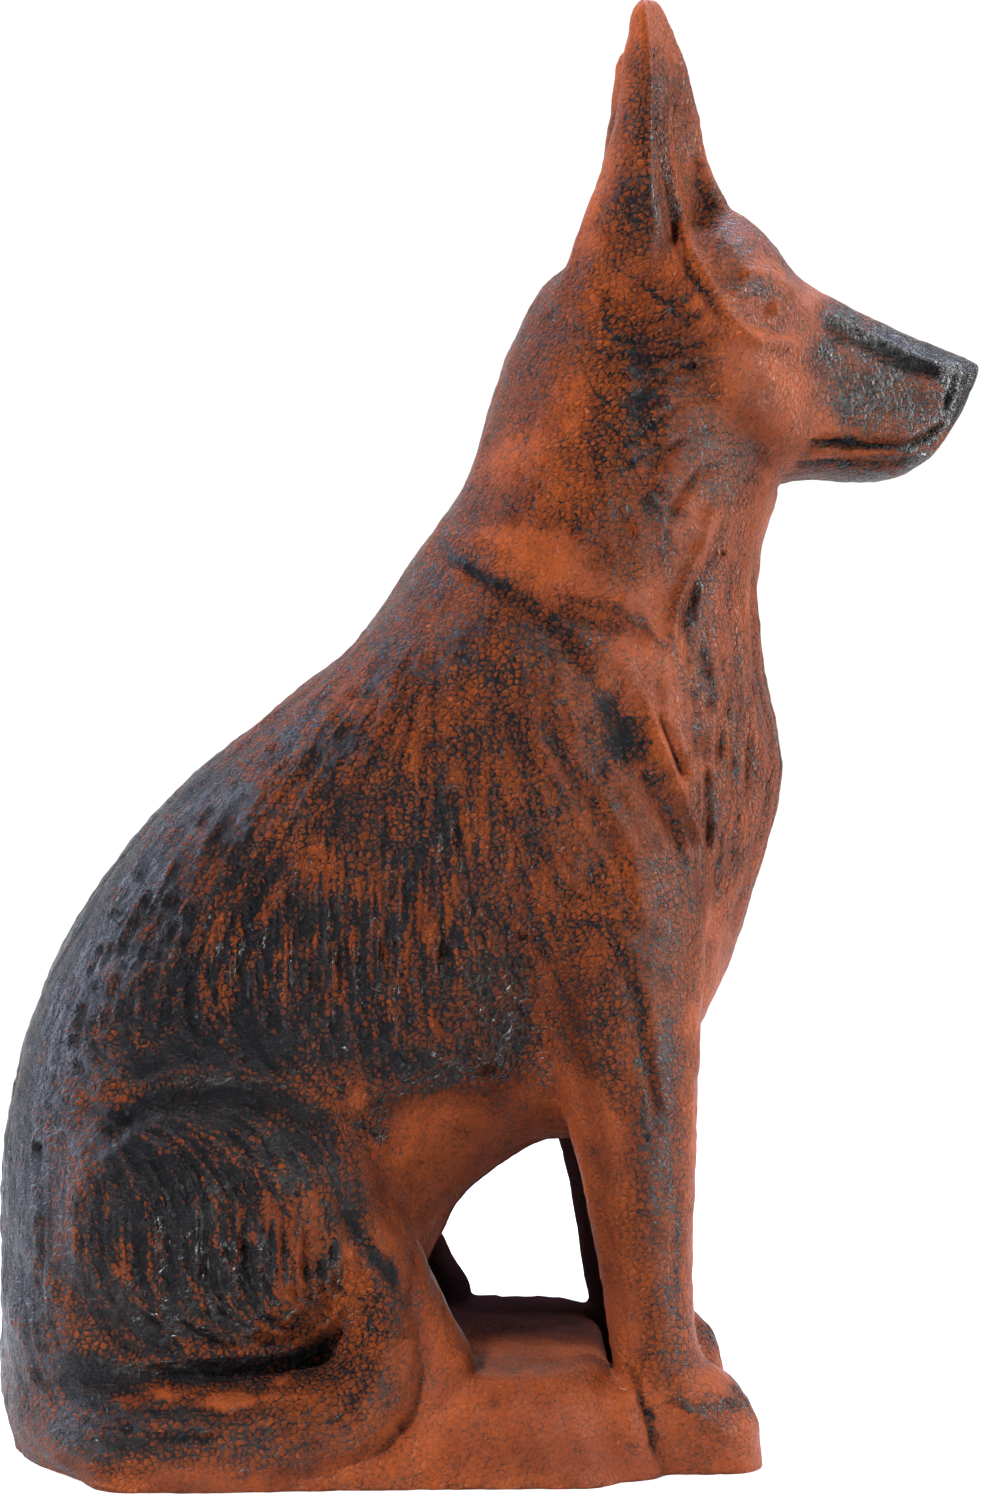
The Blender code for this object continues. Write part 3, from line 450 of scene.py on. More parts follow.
PATINA_STROKES = (
    # the edge of the ruff
    (((-15.4, 248), (-11.6, 242.4), (-6.8, 238.2), (-1.5, 235.1), (4.3, 232.8)), 2, 0.8),
    (((4.3, 232.2), (8.4, 227.7), (9.9, 221.7), (14.5, 215.3), (20.3, 212.2), (24.6, 208), (28.2, 203.2)), 1.04, 0.5),
    (((16.9, 230.4), (27.5, 227.7), (38.1, 223.4), (44.7, 217.2)), 1.1, 0.42),
    # the fall of black from the blob, along the ridge of the chest
    (((37.9, 189.5), (41.2, 183.7), (44.6, 176.7), (48.2, 169.7), (51.5, 162.2)), 1.04, 0.7),
    (((51.7, 202.8), (50.1, 208.2), (46.8, 218.8), (48.1, 229.6)), 0.7, 0.35),
    # cracks of the shoulder
    (((13.1, 200), (5.2, 197.4), (0.7, 194)), 0.6, 0.59),
    (((-1.3, 203.9), (-1.9, 196.8), (-5, 189.5), (-6.1, 182.2)), 0.6, 0.64),
    (((22.3, 198.7), (25.4, 189.5), (28.6, 181.1), (33.5, 172.1)), 0.6, 0.59),
    (((-11.3, 179), (-11.5, 172.4), (-11, 165.3)), 1.04, 0.98),
    (((29.7, 189.5), (32.9, 181.6), (37.8, 174.2)), 0.6, 0.51),
    (((11.2, 202.6), (15.4, 201.6), (21.8, 202.6)), 0.5, 0.51),
    # the tufts behind the cheek
    (((29.6, 313.8), (30, 307.9), (31.4, 302), (35.6, 296.1), (37.9, 289.8), (38.1, 283.8), (41.9, 278.5), (43.8, 274.2), (44, 266.7)), 1.2, 0.81),
    (((38, 317.5), (41.7, 313.5), (44.8, 310.6), (50.6, 305.5), (54.8, 302.2)), 1.2, 0.72),
    (((42, 292), (48.2, 292), (53, 293.2)), 0.6, 0.64), (((38.9, 298.8), (42.9, 299.2), (52.2, 300.6)), 0.6, 0.51),
    (((32.9, 270.8), (38.6, 274), (43.5, 277.7)), 0.9, 0.77),
    (((32.4, 263.8), (36.9, 266.5), (41.3, 269.2)), 0.9, 0.77),
    (((47.5, 310.5), (52.2, 307.1), (56.4, 304.3)), 0.6, 0.51), (((42, 285.6), (47.3, 286), (52.2, 287.8)), 0.6, 0.42),
    (((45.6, 262.4), (44, 254.8), (45.1, 243.6), (46.6, 235)), 1.1, 0.51),
    # the seam in front of the ear
    (((46.3, 377.8), (46.7, 358.5), (47.5, 343.1), (50, 333.8), (51.8, 322.1), (56.3, 312.5), (60.8, 306.5)), 0.7, 0.6),
    # the muzzle, the lips and the nose
    (((92.1, 310.9), (99.1, 307.3), (107.6, 303.6), (116.1, 300.4), (126.1, 297.3), (132.4, 294.7)), 2, 1.02),
    (((92.1, 300.9), (96.7, 302.4), (100.4, 300.3), (107.1, 297), (114.3, 295.6), (122.9, 294.1), (131, 292.9)), 1.2, 0.81),
    (((86.5, 274.3), (95, 275), (105.2, 273.7), (115.7, 273.8), (122.5, 276.2), (126.8, 281.4), (129.7, 287.7), (132.3, 294.1)), 0.8, 0.98),
    (((85, 269.1), (96.8, 269.1), (105.6, 269.8), (117.5, 270.9), (122.5, 273)), 0.8, 0.85),
    (((86.5, 266.6), (98.2, 266.4), (111.1, 266.7), (119.7, 268.8)), 1.12, 0.59),
    # the arch over the thigh and its front edge
    (((-101.2, 93.3), (-90.5, 98.8), (-77.3, 101.1), (-64.4, 100.5), (-51.5, 97.1), (-44.8, 90.1), (-42.7, 81.3)), 1.9, 0.85),
    (((-43, 83), (-41.6, 73.1), (-37.8, 66.5), (-33.9, 60.9), (-27.9, 52.5), (-24.5, 44.3)), 1.3, 0.8),
    (((-39.6, 92.5), (-32.8, 88.9), (-29.2, 86.6)), 1.04, 0.77),
    (((-35.4, 102.8), (-30.7, 98.4), (-17.6, 100), (-4.3, 104.1)), 1, 0.68),
    (((-36.5, 107.6), (-32.8, 101.7), (-28.1, 95.1)), 0.8, 0.59),
    # the fold under the thigh
    (((-114.2, 25.9), (-97.9, 26.7), (-82.2, 26.5), (-66.9, 26.9), (-54.2, 29.1), (-46.5, 34.2)), 1.3, 0.65),
    (((-110.6, 16.3), (-96.8, 17.2), (-86.4, 19.1), (-76.2, 19.8)), 2.08, 0.64),
    # the crack down the leg, and the dab on the paw
    (((32.8, 142.3), (36.1, 132.4), (37.9, 122.7), (37.9, 111), (39, 101.5), (38.9, 91.9), (40.3, 84.8), (44.5, 77.5)), 0.8, 0.81),
    (((46, 94.9), (45.4, 84.5), (44.8, 77.3), (46.8, 67.6), (47.9, 55.5), (47.4, 37.8), (46.4, 27.8)), 1, 0.68),
    (((35.8, 27), (37.6, 20), (40, 13), (42, 5)), 1.1, 0.5),
    (((45.8, 18.7), (53.2, 17.1), (59.1, 17.4), (66.5, 16.5)), 1.28, 0.85),
)
PATINA_LEAST = -0.12
# Strokes wander this far, and none is thinner than this half width
STROKE_WANDER = 1.1
STROKE_LEAST = 0.9

# Strips of painted shade, where these parts lie in shade: the back of the foreleg, the belly and the base
PAINTED_SHADE_STRIPS = (
    (((17, 138), (22, 112), (27, 85), (30, 60), (34, 32)), 4.5, 0.5),
    (((-36, 92), (-20, 98), (0, 99), (14, 106)), 5.0, 0.38),
    (((-24, 6), (0, 7), (20, 7), (42, 5)), 6.0, 0.22),
    (((-29, 62), (-24, 45), (-20, 28)), 4.0, 0.25),
)

# Where it lies seen from behind and in front: across and up, half sizes and strength
PATINA_BEHIND = ((0, 110, 60, 70, 1.0), (0, 175, 50, 35, 0.85), (0, 40, 60, 40, 0.95), (0, 235, 40, 30, 0.5), (0, 300, 30, 30, 0.4))
PATINA_AHEAD = ((0, 190, 30, 50, 0.2), (0, 330, 20, 14, 0.3), (0, 292, 14, 16, 1.0), (-33, 16, 12, 4, 0.5), (33, 16, 12, 4, 0.5))


def linear(colour):
    """An sRGB hex colour as linear red, green and blue."""
    shares = [int(colour[i : i + 2], 16) / 255 for i in (1, 3, 5)]
    return tuple(c / 12.92 if c <= 0.04045 else ((c + 0.055) / 1.055) ** 2.4 for c in shares)


class DogCasting(bpy.types.PropertyGroup):
    """Sizes of the fine casting."""

    grid: bpy.props.FloatProperty(
        name="Fusing grid",
        description="Grid on which the forms are fused into one casting",
        default=0.0008,
        min=0.0006,
        max=0.004,
        unit="LENGTH",
    )
    blend_radius: bpy.props.FloatProperty(
        name="Blending",
        description="How far the joins between the forms are softened",
        default=0.0028,
        min=0.0,
        max=0.01,
        unit="LENGTH",
    )
    triangles: bpy.props.IntProperty(
        name="Triangles",
        description="Most triangles in the finished casting",
        default=194000,
        min=20000,
        max=199000,
    )
    plain_triangles: bpy.props.IntProperty(
        name="Triangles of the plain side",
        description="Most triangles on the left side, which is finished more plainly",
        default=46000,
        min=5000,
        max=90000,
    )
    fur: bpy.props.FloatProperty(
        name="Fur relief",
        description="How deep the fur is combed, as a share of the depth in the tables",
        default=1.8,
        min=0.0,
        max=3.0,
        subtype="FACTOR",
    )
    sand: bpy.props.FloatProperty(
        name="Sand relief",
        description="Height of the uneven skin that the sand mould leaves",
        default=0.00034,
        min=0.0,
        max=0.001,
        unit="LENGTH",
    )
    sand_grain: bpy.props.FloatProperty(
        name="Sand grain",
        description="Size of one grain of the mould's sand as it shows in the skin",
        default=0.0009,
        min=0.0003,
        max=0.003,
        unit="LENGTH",
    )


class DogPaint(bpy.types.PropertyGroup):
    """Colours and gloss of the paint and the patina."""

    paint: bpy.props.FloatVectorProperty(
        name="Paint",
        description="Terracotta brown paint where it lies in the light",
        subtype="COLOR",
        min=0.0,
        max=1.0,
        default=linear("#A94F19"),
    )
    paint_deep: bpy.props.FloatVectorProperty(
        name="Paint in hollows",
        description="Darker, redder paint where it runs thick",
        subtype="COLOR",
        min=0.0,
        max=1.0,
        default=linear("#7C3617"),
    )
    # Near black with a slight blue tint: partly the patina's own colour, partly a painted cool reflection of the light
    patina: bpy.props.FloatVectorProperty(
        name="Patina",
        description="Black colour brushed over the paint and wiped off its high places",
        subtype="COLOR",
        min=0.0,
        max=1.0,
        default=linear("#13171D"),
    )
    patina_worn: bpy.props.FloatVectorProperty(
        name="Worn patina",
        description="Browner black where the patina is rubbed thin",
        subtype="COLOR",
        min=0.0,
        max=1.0,
        default=linear("#30261F"),
    )
    paint_roughness: bpy.props.FloatProperty(
        name="Roughness of the paint",
        description="From 0 for a mirror to 1 for chalk",
        default=0.46,
        min=0.0,
        max=1.0,
        subtype="FACTOR",
    )
    patina_roughness: bpy.props.FloatProperty(
        name="Roughness of the patina",
        description="From 0 for a mirror to 1 for chalk",
        default=0.25,
        min=0.0,
        max=1.0,
        subtype="FACTOR",
    )


class DogStage(bpy.types.PropertyGroup):
    """The camera, the floor and the light."""

    camera_place: bpy.props.FloatVectorProperty(
        name="Camera",
        description="Where the camera stands",
        subtype="TRANSLATION",
        unit="LENGTH",
        default=(-0.0173, -0.617, 0.1895),
    )
    lens: bpy.props.FloatProperty(
        name="Lens",
        description="Focal length in millimetres on a 36 mm sensor",
        default=52.56,
        min=10.0,
        max=200.0,
    )
    floor: bpy.props.FloatVectorProperty(
        name="Floor",
        description="Pale floor",
        subtype="COLOR",
        min=0.0,
        max=1.0,
        default=linear("#F2F2F4"),
    )
    sky: bpy.props.FloatVectorProperty(
        name="Surrounding light",
        description="Colour of the soft light from all round",
        subtype="COLOR",
        min=0.0,
        max=1.0,
        default=linear("#FFFFFF"),
    )
    panel_power: bpy.props.FloatProperty(
        name="Light panels",
        description="Power of the large light panels in watts",
        default=13.0,
        min=0.0,
        max=200.0,
        unit="POWER",
    )


def curve_through(points, steps):
    """Points on a smooth Catmull-Rom curve through rows of numbers, steps for each stretch."""
    rows = np.array(points, dtype=float)
    ends = np.vstack([2 * rows[0] - rows[1], rows, 2 * rows[-1] - rows[-2]])
    out = []
    for i in range(len(rows) - 1):
        a, b, c, d = ends[i : i + 4]
        for t in np.linspace(0, 1, steps, endpoint=False):
            bend = 2 * b + (c - a) * t + (2 * a - 5 * b + 4 * c - d) * t**2
            out.append(0.5 * (bend + (3 * b - a - 3 * c + d) * t**3))
    out.append(rows[-1])
    return out


def closed_curve_through(points, steps):
    """The same round a closed outline."""
    around = list(points[-1:]) + list(points) + list(points[:2])
    inner = curve_through(around, steps)
    return inner[steps : -2 * steps]


def skin(bm, rings):
    """Bridge rings of points with faces and close both ends."""
    loops = [[bm.verts.new(Vector(p) * MM) for p in ring] for ring in rings]
    count = len(loops[0])
    for low, high in zip(loops, loops[1:]):
        for i in range(count):
            j = (i + 1) % count
            bm.faces.new((low[i], low[j], high[j], high[i]))
    bm.faces.new(loops[0][::-1])
    bm.faces.new(loops[-1])


def section(x1, z1, x2, z2, half, square, widen, middle=0.0):
    """A rounded section between two points of the side view."""
    ring = []
    for angle in np.linspace(0, 2 * math.pi, RING_POINTS, endpoint=False):
        along = math.copysign(abs(math.cos(angle)) ** (2 / square), math.cos(angle))
        across = math.copysign(abs(math.sin(angle)) ** (2 / square), math.sin(angle))
        share = (1 - along) / 2
        width = half * (1 + widen * (2 * share - 1))
        ring.append((x1 + (x2 - x1) * share, middle + across * width, z1 + (z2 - z1) * share))
    return ring


def loft(bm, stations, side=1, back=0.0):
    """A form through sections, on the given side where the stations state their middle."""
    rings = []
    for row in curve_through(stations, 6):
        values = list(row)
        values[0] -= back
        values[2] -= back
        if len(values) > 7:
            values[7] *= side
        rings.append(section(*values))
    skin(bm, rings)


def ear(bm, side):
    """An upright pointed ear, hollow between its outer rim and its front rim."""
    rings = []
    for z, back, front, middle, thick in curve_through(EAR, 6):
        long = front - back
        rim = np.array((back + EAR_RIM * long, middle + thick))
        tip = np.array((front, middle - 0.1 * thick))
        inward = np.array((-(tip - rim)[1], (tip - rim)[0]))
        inward *= math.copysign(1, -inward[0]) / np.linalg.norm(inward)
        hollow = (rim + tip) / 2 + inward * EAR_HOLLOW * thick
        outline = (
            rim,
            rim * 0.72 + tip * 0.28 + inward * EAR_HOLLOW * thick * 0.8,
            hollow,
            rim * 0.25 + tip * 0.75 + inward * EAR_HOLLOW * thick * 0.6,
            tip,
            (front - 0.1 * long, middle - 0.6 * thick),
            (back + 0.55 * long, middle - thick),
            (back + 0.15 * long, middle - 0.7 * thick),
            (back, middle - 0.1 * thick),
            (back + 0.14 * long, middle + 0.62 * thick),
        )
        around = closed_curve_through([np.array(p) for p in outline], 6)
        rings.append([(x, side * y, z) for x, y in around])
    skin(bm, rings)


def thigh(bm, side):
    """The rounded mass of the thigh."""
    made = bmesh.ops.create_icosphere(bm, subdivisions=5, radius=1.0)["verts"]
    for vert in made:
        full = [math.copysign(abs(c) ** THIGH_FULLNESS, c) for c in vert.co]
        x, y, z = (c * h for c, h in zip(full, THIGH_HALF))
        vert.co = Vector((x + THIGH_CENTRE[0], y + side * THIGH_CENTRE[1], z + THIGH_CENTRE[2])) * MM


def tail(bm):
    """The tail, a round tube whose tip turns up in front of the thigh."""
    rows = curve_through(TAIL, 8)
    rings = []
    for i, (x, y, z, radius) in enumerate(rows):
        ahead = Vector(rows[min(i + 1, len(rows) - 1)][:3]) - Vector(rows[max(i - 1, 0)][:3])
        out = ahead.cross(Vector((0, 0, 1))).normalized()
        if out.length < 0.5:
            out = Vector((0, -1, 0))
        over = out.cross(ahead).normalized()
        turns = np.linspace(0, 2 * math.pi, RING_POINTS, endpoint=False)
        rings.append(
            [Vector((x, y, z)) + (out * math.cos(a) + over * math.sin(a)) * radius for a in turns]
        )
    skin(bm, rings)


def slab(bm, middle, long, top_width, foot_width, height):
    """A low block, its sides sloping out to the ground and its upper edges rounded."""
    rings = []
    steps = [(-SUNK, 0.0, 0.0), (0.0, 0.0, 0.0)]
    for angle in np.linspace(0, math.pi / 2, 7):
        rise = height - BASE_EDGE * (1 - math.sin(angle))
        steps.append((rise, BASE_EDGE * (1 - math.cos(angle)), rise / height))
    for z, shrink, share in steps:
        half_wide = (foot_width + (top_width - foot_width) * share) / 2 - shrink - BASE_CORNER
        half_long = long / 2 - shrink - BASE_END_SLOPE * share - BASE_CORNER
        ring = []
        for turn, (sx, sy) in enumerate(((1, 1), (-1, 1), (-1, -1), (1, -1))):
            for angle in np.linspace(0, math.pi / 2, 8) + turn * math.pi / 2:
                x = middle + sx * half_long + BASE_CORNER * math.cos(angle)
                ring.append((x, sy * half_wide + BASE_CORNER * math.sin(angle), z))
        rings.append(ring)
    skin(bm, rings)


def evaluated(thing):
    """The mesh of an object with its modifiers, and the object itself removed."""
    bpy.context.view_layer.update()
    graph = bpy.context.evaluated_depsgraph_get()
    mesh = bpy.data.meshes.new_from_object(thing.evaluated_get(graph))
    bpy.data.objects.remove(thing)
    return mesh


def fused_forms(grid, blend_radius):
    """All the forms as one closed softened mesh, sunk a little below the ground."""
    bm = bmesh.new()
    loft(bm, BODY)
    loft(bm, HEAD)
    tail(bm)
    front = FORELEG[-1][0]
    slab(bm, front - BASE_LENGTH / 2, BASE_LENGTH, BASE_TOP_WIDTH, BASE_FOOT_WIDTH, BASE_HEIGHT)
    long = TONGUE_LENGTH + 2 * BASE_CORNER
    slab(bm, front + TONGUE_LENGTH - long / 2, long, TONGUE_WIDTH, TONGUE_WIDTH, TONGUE_HEIGHT)
    for side in BOTH:
        ear(bm, side)
        thigh(bm, side)
        loft(bm, FORELEG, side, LEFT_LEG_BACK if side > 0 else 0.0)
        loft(bm, FOREPAW, side, LEFT_PAW_BACK if side > 0 else 0.0)
        loft(bm, FILLET, side)
        loft(bm, SHIN, side)
        loft(bm, HIND_FOOT, side)
    bmesh.ops.recalc_face_normals(bm, faces=bm.faces)
    mesh = bpy.data.meshes.new("forms")
    bm.to_mesh(mesh)
    bm.free()
    forms = bpy.data.objects.new("forms", mesh)
    bpy.context.scene.collection.objects.link(forms)
    fuse = forms.modifiers.new("fuse", "REMESH")
    fuse.mode = "VOXEL"
    fuse.voxel_size = grid
    soften = forms.modifiers.new("soften", "SMOOTH")
    soften.factor = 0.5
    soften.iterations = round(4 * (blend_radius / grid) ** 2)
    return evaluated(forms)


def ramp(value, low, high):
    """0 below low, 1 above high and a smooth rise between."""
    share = np.clip((value - low) / (high - low), 0, 1)
    return share * share * (3 - 2 * share)


def lumps(points, seed):
    """Smooth noise between -1 and 1 at rows of coordinates, about one unit from lump to lump."""
    table = np.random.default_rng(seed).uniform(-1, 1, 8192)
    steps = np.array((1, 157, 2671))[: points.shape[1]]
    cell = np.floor(points).astype(np.int64)
    part = points - cell
    fade = part * part * (3 - 2 * part)
    total = np.zeros(len(points))
    for corner in itertools.product((0, 1), repeat=points.shape[1]):
        weight = np.prod(np.where(corner, fade, 1 - fade), axis=1)
        total += weight * table[((cell + corner) @ steps) % len(table)]
    return total


class Field:
    """Numbers on a grid over a view, looked up smoothly at places in it."""

    def __init__(self, low, high, step):
        self.low = np.array(low, float)
        self.step = step
        self.shape = tuple(int((h - l) / step) + 2 for l, h in zip(low, high))
        axes = [l + step * np.arange(n) for l, n in zip(low, self.shape)]
        self.points = np.stack(np.meshgrid(*axes, indexing="ij"), -1).reshape(-1, 2)
        self.values = np.zeros(self.shape)

    def nearest(self, points, values):
        """The value of the nearest grid place."""
        spot = np.rint((points - self.low) / self.step).astype(int)
        spot = np.clip(spot, 0, np.array(self.shape) - 1)
        return values[spot[:, 0] * self.shape[1] + spot[:, 1]]

    def at(self, points):
        """The values between the grid places."""
        spot = (points - self.low) / self.step
        cell = np.clip(np.floor(spot).astype(int), 0, np.array(self.shape) - 2)
        part = np.clip(spot - cell, 0, 1)
        i, j = cell.T
        u, v = part.T
        low = self.values[i, j] * (1 - v) + self.values[i, j + 1] * v
        high = self.values[i + 1, j] * (1 - v) + self.values[i + 1, j + 1] * v
        return low * (1 - u) + high * u


def fur_directions(points):
    """Which way the fur lies at places of the side view."""
    rows = np.array(FUR_LIES, float)
    lies = rows[:, 2:] / np.linalg.norm(rows[:, 2:], axis=1)[:, None]
    total = np.zeros((len(points), 2))
    for place, lie in zip(rows[:, :2], lies):
        away = ((points - place) ** 2).sum(1)
        total += (np.exp(-away / (2 * FUR_REACH**2)) + 1e-3 / (1 + away))[:, None] * lie
    return total / (np.linalg.norm(total, axis=1)[:, None] + 1e-9)


def combed(low, high, lies, wide, long, seed):
    """Random strokes drawn out along the lie of the fur, about -1 to 1."""
    field = Field(low, high, 0.75)
    flow = lies(field.points)
    total = lumps(field.points / wide, seed)
    count = 1
    step = 0.55 * wide
    for way in (-1, 1):
        places = field.points.copy()
        for _ in range(int(long / 2 / step)):
            places += way * step * field.nearest(places, flow)
            total += lumps(places / wide, seed)
            count += 1
    field.values = (total / total.std() / 2).reshape(field.shape)
    return field


def beside(points, line):
    """How far each place is from a curve, and its share of the way along it."""
    path = np.array(curve_through(line, 6))
    nearest = np.full(len(points), 1e9)
    where = np.zeros(len(points))
    for i, (start, end) in enumerate(zip(path, path[1:])):
        along = end - start
        share = np.clip((points - start) @ along / (along @ along), 0, 1)
        away = ((points - start - share[:, None] * along) ** 2).sum(1)
        closer = away < nearest
        nearest[closer] = away[closer]
        where[closer] = (i + share[closer]) / (len(path) - 1)
    return np.sqrt(nearest), where


def pressed_lines(view, lines, join=np.add, tapered=0.85):
    """Depth that lines press into places of a view, and how it adds up where they cross."""
    depth = np.zeros(len(view))
    for line, half_width, deep in lines:
        rows = np.array(line, float)
        reach = 3 * half_width + 1
        inside = np.all((view > rows.min(0) - reach) & (view < rows.max(0) + reach), axis=1)
        if inside.any():
            away, where = beside(view[inside], line)
            ends = ramp(np.minimum(where, 1 - where), 0.0, 0.18)
            press = deep * np.exp(-((away / half_width) ** 2)) * (1 - tapered + tapered * ends)
            depth[inside] = join(depth[inside], press)
    return depth


def spots(view, table):
    """The sum of round soft spots at places of a view."""
    total = np.zeros(len(view))
    for a, b, half_a, half_b, strength in table:
        near = ((view[:, 0] - a) / half_a) ** 2 + ((view[:, 1] - b) / half_b) ** 2
        total += strength * np.exp(-near)
    return total


def strongest(view, table):
    """The strongest of flat-topped soft spots at places of a view, less the negative ones."""
    most = np.zeros(len(view))
    least = np.zeros(len(view))
    for a, b, half_a, half_b, strength in table:
        near = ((view[:, 0] - a) / half_a) ** 2 + ((view[:, 1] - b) / half_b) ** 2
        value = abs(strength) * np.exp(-(near**1.5) * 0.7)
        if strength > 0:
            most = most + value - most * value if strength < 0.3 else np.maximum(most, value)
        else:
            least = np.maximum(least, value)
    return most - least


class Surface:
    """Places, normals and the weights with which each view marks them."""

    def __init__(self, mesh):
        count = len(mesh.vertices)
        flat = np.empty(count * 3)
        mesh.vertices.foreach_get("co", flat)
        self.places = flat.reshape(count, 3) / MM
        flat = np.empty(count * 3)
        mesh.vertices.foreach_get("normal", flat)
        self.normals = flat.reshape(count, 3)
        across = np.abs(self.normals[:, 1])
        self.sideways = ramp(across, 0.12, 0.42) * ramp(np.abs(self.places[:, 1]), 3.0, 9.0)
        self.ahead = ramp(self.normals[:, 0], 0.3, 0.7)
        rump_or_neck = np.maximum(ramp(-self.places[:, 0], 60, 85), ramp(self.places[:, 2], 190, 215))
        self.behind = ramp(-self.normals[:, 0], 0.2, 0.6) * rump_or_neck
        self.right = ramp(-self.places[:, 1], -4.0, 4.0)
        self.side_view = self.places[:, (0, 2)]
        self.end_view = self.places[:, 1:]


def fur_relief(surface, fields, share):
    """Depth of the combed fur, and its strokes from -1 to 1."""
    side_fields, end_field, hair_field = fields
    strokes = np.zeros(len(surface.places))
    for side, field in side_fields.items():
        here = side * surface.places[:, 1] > 0
        strokes[here] = field.at(surface.side_view[here])
    strokes = 0.75 * strokes + 0.45 * hair_field.at(surface.side_view)
    blend = ramp(np.abs(surface.normals[:, 1]), 0.25, 0.6)
    strokes = blend * strokes + (1 - blend) * end_field.at(surface.end_view)
    depth = np.maximum(FUR_LEAST, strongest(surface.side_view, FUR_DEPTHS))
    level = ramp(np.abs(surface.normals[:, 2]), 0.75, 0.95) * ramp(-surface.places[:, 2], -40, -20)
    depth = depth * (1 - 0.8 * level)
    return -share * depth * strokes, strokes


def carving(surface):
    """Depth of all the carved lines, hollows, locks, toes and pinholes."""
    depth = surface.sideways * pressed_lines(surface.side_view, LINES)
    depth += surface.sideways * spots(surface.side_view, HOLLOWS)
    chest = [
        ([(across * share + math.sin(across + z) * 0.8, z) for share, z in CHEST_LINE], 2.2, 1.1)
        for across in CHEST_LOCKS
    ]
    depth += surface.ahead * pressed_lines(surface.end_view, chest)
    x, y, z = surface.places.T
    toes = ramp(-z, -23, -17) * ramp(x, 52, 59)
    for side in BOTH:
        for across in TOE_LINES:
            off = y - side * FOREPAW[3][7] - across
            depth += 1.7 * toes * np.exp(-((off / 1.35) ** 2))
    right = (surface.normals[:, 1] < -0.2) & (y < -3)
    holes = spots(surface.side_view, [(a, b, w, w, d) for a, b, w, d in PINHOLES])
    return depth + holes * right


def sand_skin(places, height, grain):
    """The uneven skin that the sand mould leaves."""
    rough = 0.5 * lumps(places / (grain / MM * 2.4), 11) + 0.8 * lumps(places / 5.0, 12)
    return height / MM * (rough + 1.3 * lumps(places / 13.0, 13))


def patina_level(surface):
    """How much patina lies on the surface: 0 is bare paint and 1 is black."""
    side = strongest(surface.side_view, PATINA)
    rear = np.maximum(side, strongest(surface.end_view, PATINA_BEHIND))
    front = np.maximum(0.6 * side, strongest(surface.end_view, PATINA_AHEAD))
    level = side + surface.behind * (rear - side) + surface.ahead * (front - side)
    wander = np.stack([lumps(surface.places / 3.0, seed) for seed in (23, 24)], 1)
    view = surface.side_view + STROKE_WANDER * wander
    strokes = [(line, max(wide, STROKE_LEAST), strength) for line, wide, strength in PATINA_STROKES]
    uneven = 1 + 0.55 * lumps(surface.places / 3.5, 25)
    level = level + surface.right * spots(view, PATINA_DABS) * uneven
    brushed = pressed_lines(view, strokes, np.maximum, 0.5) * (0.35 + 0.6 * uneven)
    level = np.maximum(level, surface.right * brushed)
    patchy = 0.08 * lumps(surface.places / 9.0, 21) + 0.06 * lumps(surface.places / 4.0, 22)
    return np.clip(np.maximum(level, PATINA_LEAST) + patchy, -0.25, 1.15)


def shade_painted_in(surface):
    """Painted shade, black from 0 to 1: on the base and the inner faces between the legs, and in strips on the right
    side, where shade falls.
    """
    x, y, z = surface.places.T
    # painted shade between the legs, where little light reaches
    between = ramp(x, -78, -58) * ramp(-x, -52, -38) * ramp(-z, -125, -90)
    inward = ramp(y, -46, 4) * ramp(-y, -56, -46) * ramp(-surface.normals[:, 1], -0.6, -0.1)
    # painted shade in strips down the back of the foreleg, along the belly and over the base
    thick = surface.right * pressed_lines(surface.side_view, PAINTED_SHADE_STRIPS, np.maximum)
    return np.maximum(0.9 * between * inward, thick)


def set_places(mesh, places):
    mesh.vertices.foreach_set("co", (places * MM).ravel())
    mesh.update()


def keep_numbers(mesh, name, values):
    """Store one number at each vertex for the material."""
    layer = mesh.attributes.new(name, "FLOAT", "POINT")
    layer.data.foreach_set("value", np.asarray(values, dtype=np.float32))


def keep_lie(mesh, surface):
    """Store which way the fur lies, as the cosine and sine of twice its turn from upright.

    Its fourth power is how strongly the fur shows.
    """
    across, up = fur_directions(surface.side_view).T
    shown = np.maximum(FUR_LEAST, strongest(surface.side_view, FUR_DEPTHS)) ** 0.25
    lie = np.stack([up * up - across * across, 2 * across * up, np.zeros(len(up))], 1) * shown[:, None]
    layer = mesh.attributes.new("lie", "FLOAT_VECTOR", "POINT")
    layer.data.foreach_set("vector", lie.astype(np.float32).ravel())


def reduced(mesh, triangles, free):
    """The same surface with fewer triangles, taken where the vertices are free to go."""
    thing = bpy.data.objects.new("reduced", mesh)
    bpy.context.scene.collection.objects.link(thing)
    thing.vertex_groups.clear()
    thing.vertex_groups.new(name="free").add(np.flatnonzero(free).tolist(), 1.0, "REPLACE")
    cut = thing.modifiers.new("reduce", "DECIMATE")
    cut.ratio = min(1.0, triangles / sum(len(p.vertices) - 2 for p in mesh.polygons))
    cut.vertex_group = "free"
    return evaluated(thing)


def stand_on_ground(mesh):
    """Cut the mesh flat at the ground, and set it in the box of the solid that it stands for."""
    bm = bmesh.new()
    bm.from_mesh(mesh)
    bmesh.ops.bisect_plane(
        bm,
        geom=bm.verts[:] + bm.edges[:] + bm.faces[:],
        plane_co=(0, 0, 0),
        plane_no=(0, 0, -1),
        clear_outer=True,
    )
    rim = [e for e in bm.edges if e.is_boundary]
    bmesh.ops.holes_fill(bm, edges=rim, sides=0)
    bmesh.ops.triangulate(bm, faces=[f for f in bm.faces if len(f.verts) > 3])
    bm.to_mesh(mesh)
    bm.free()


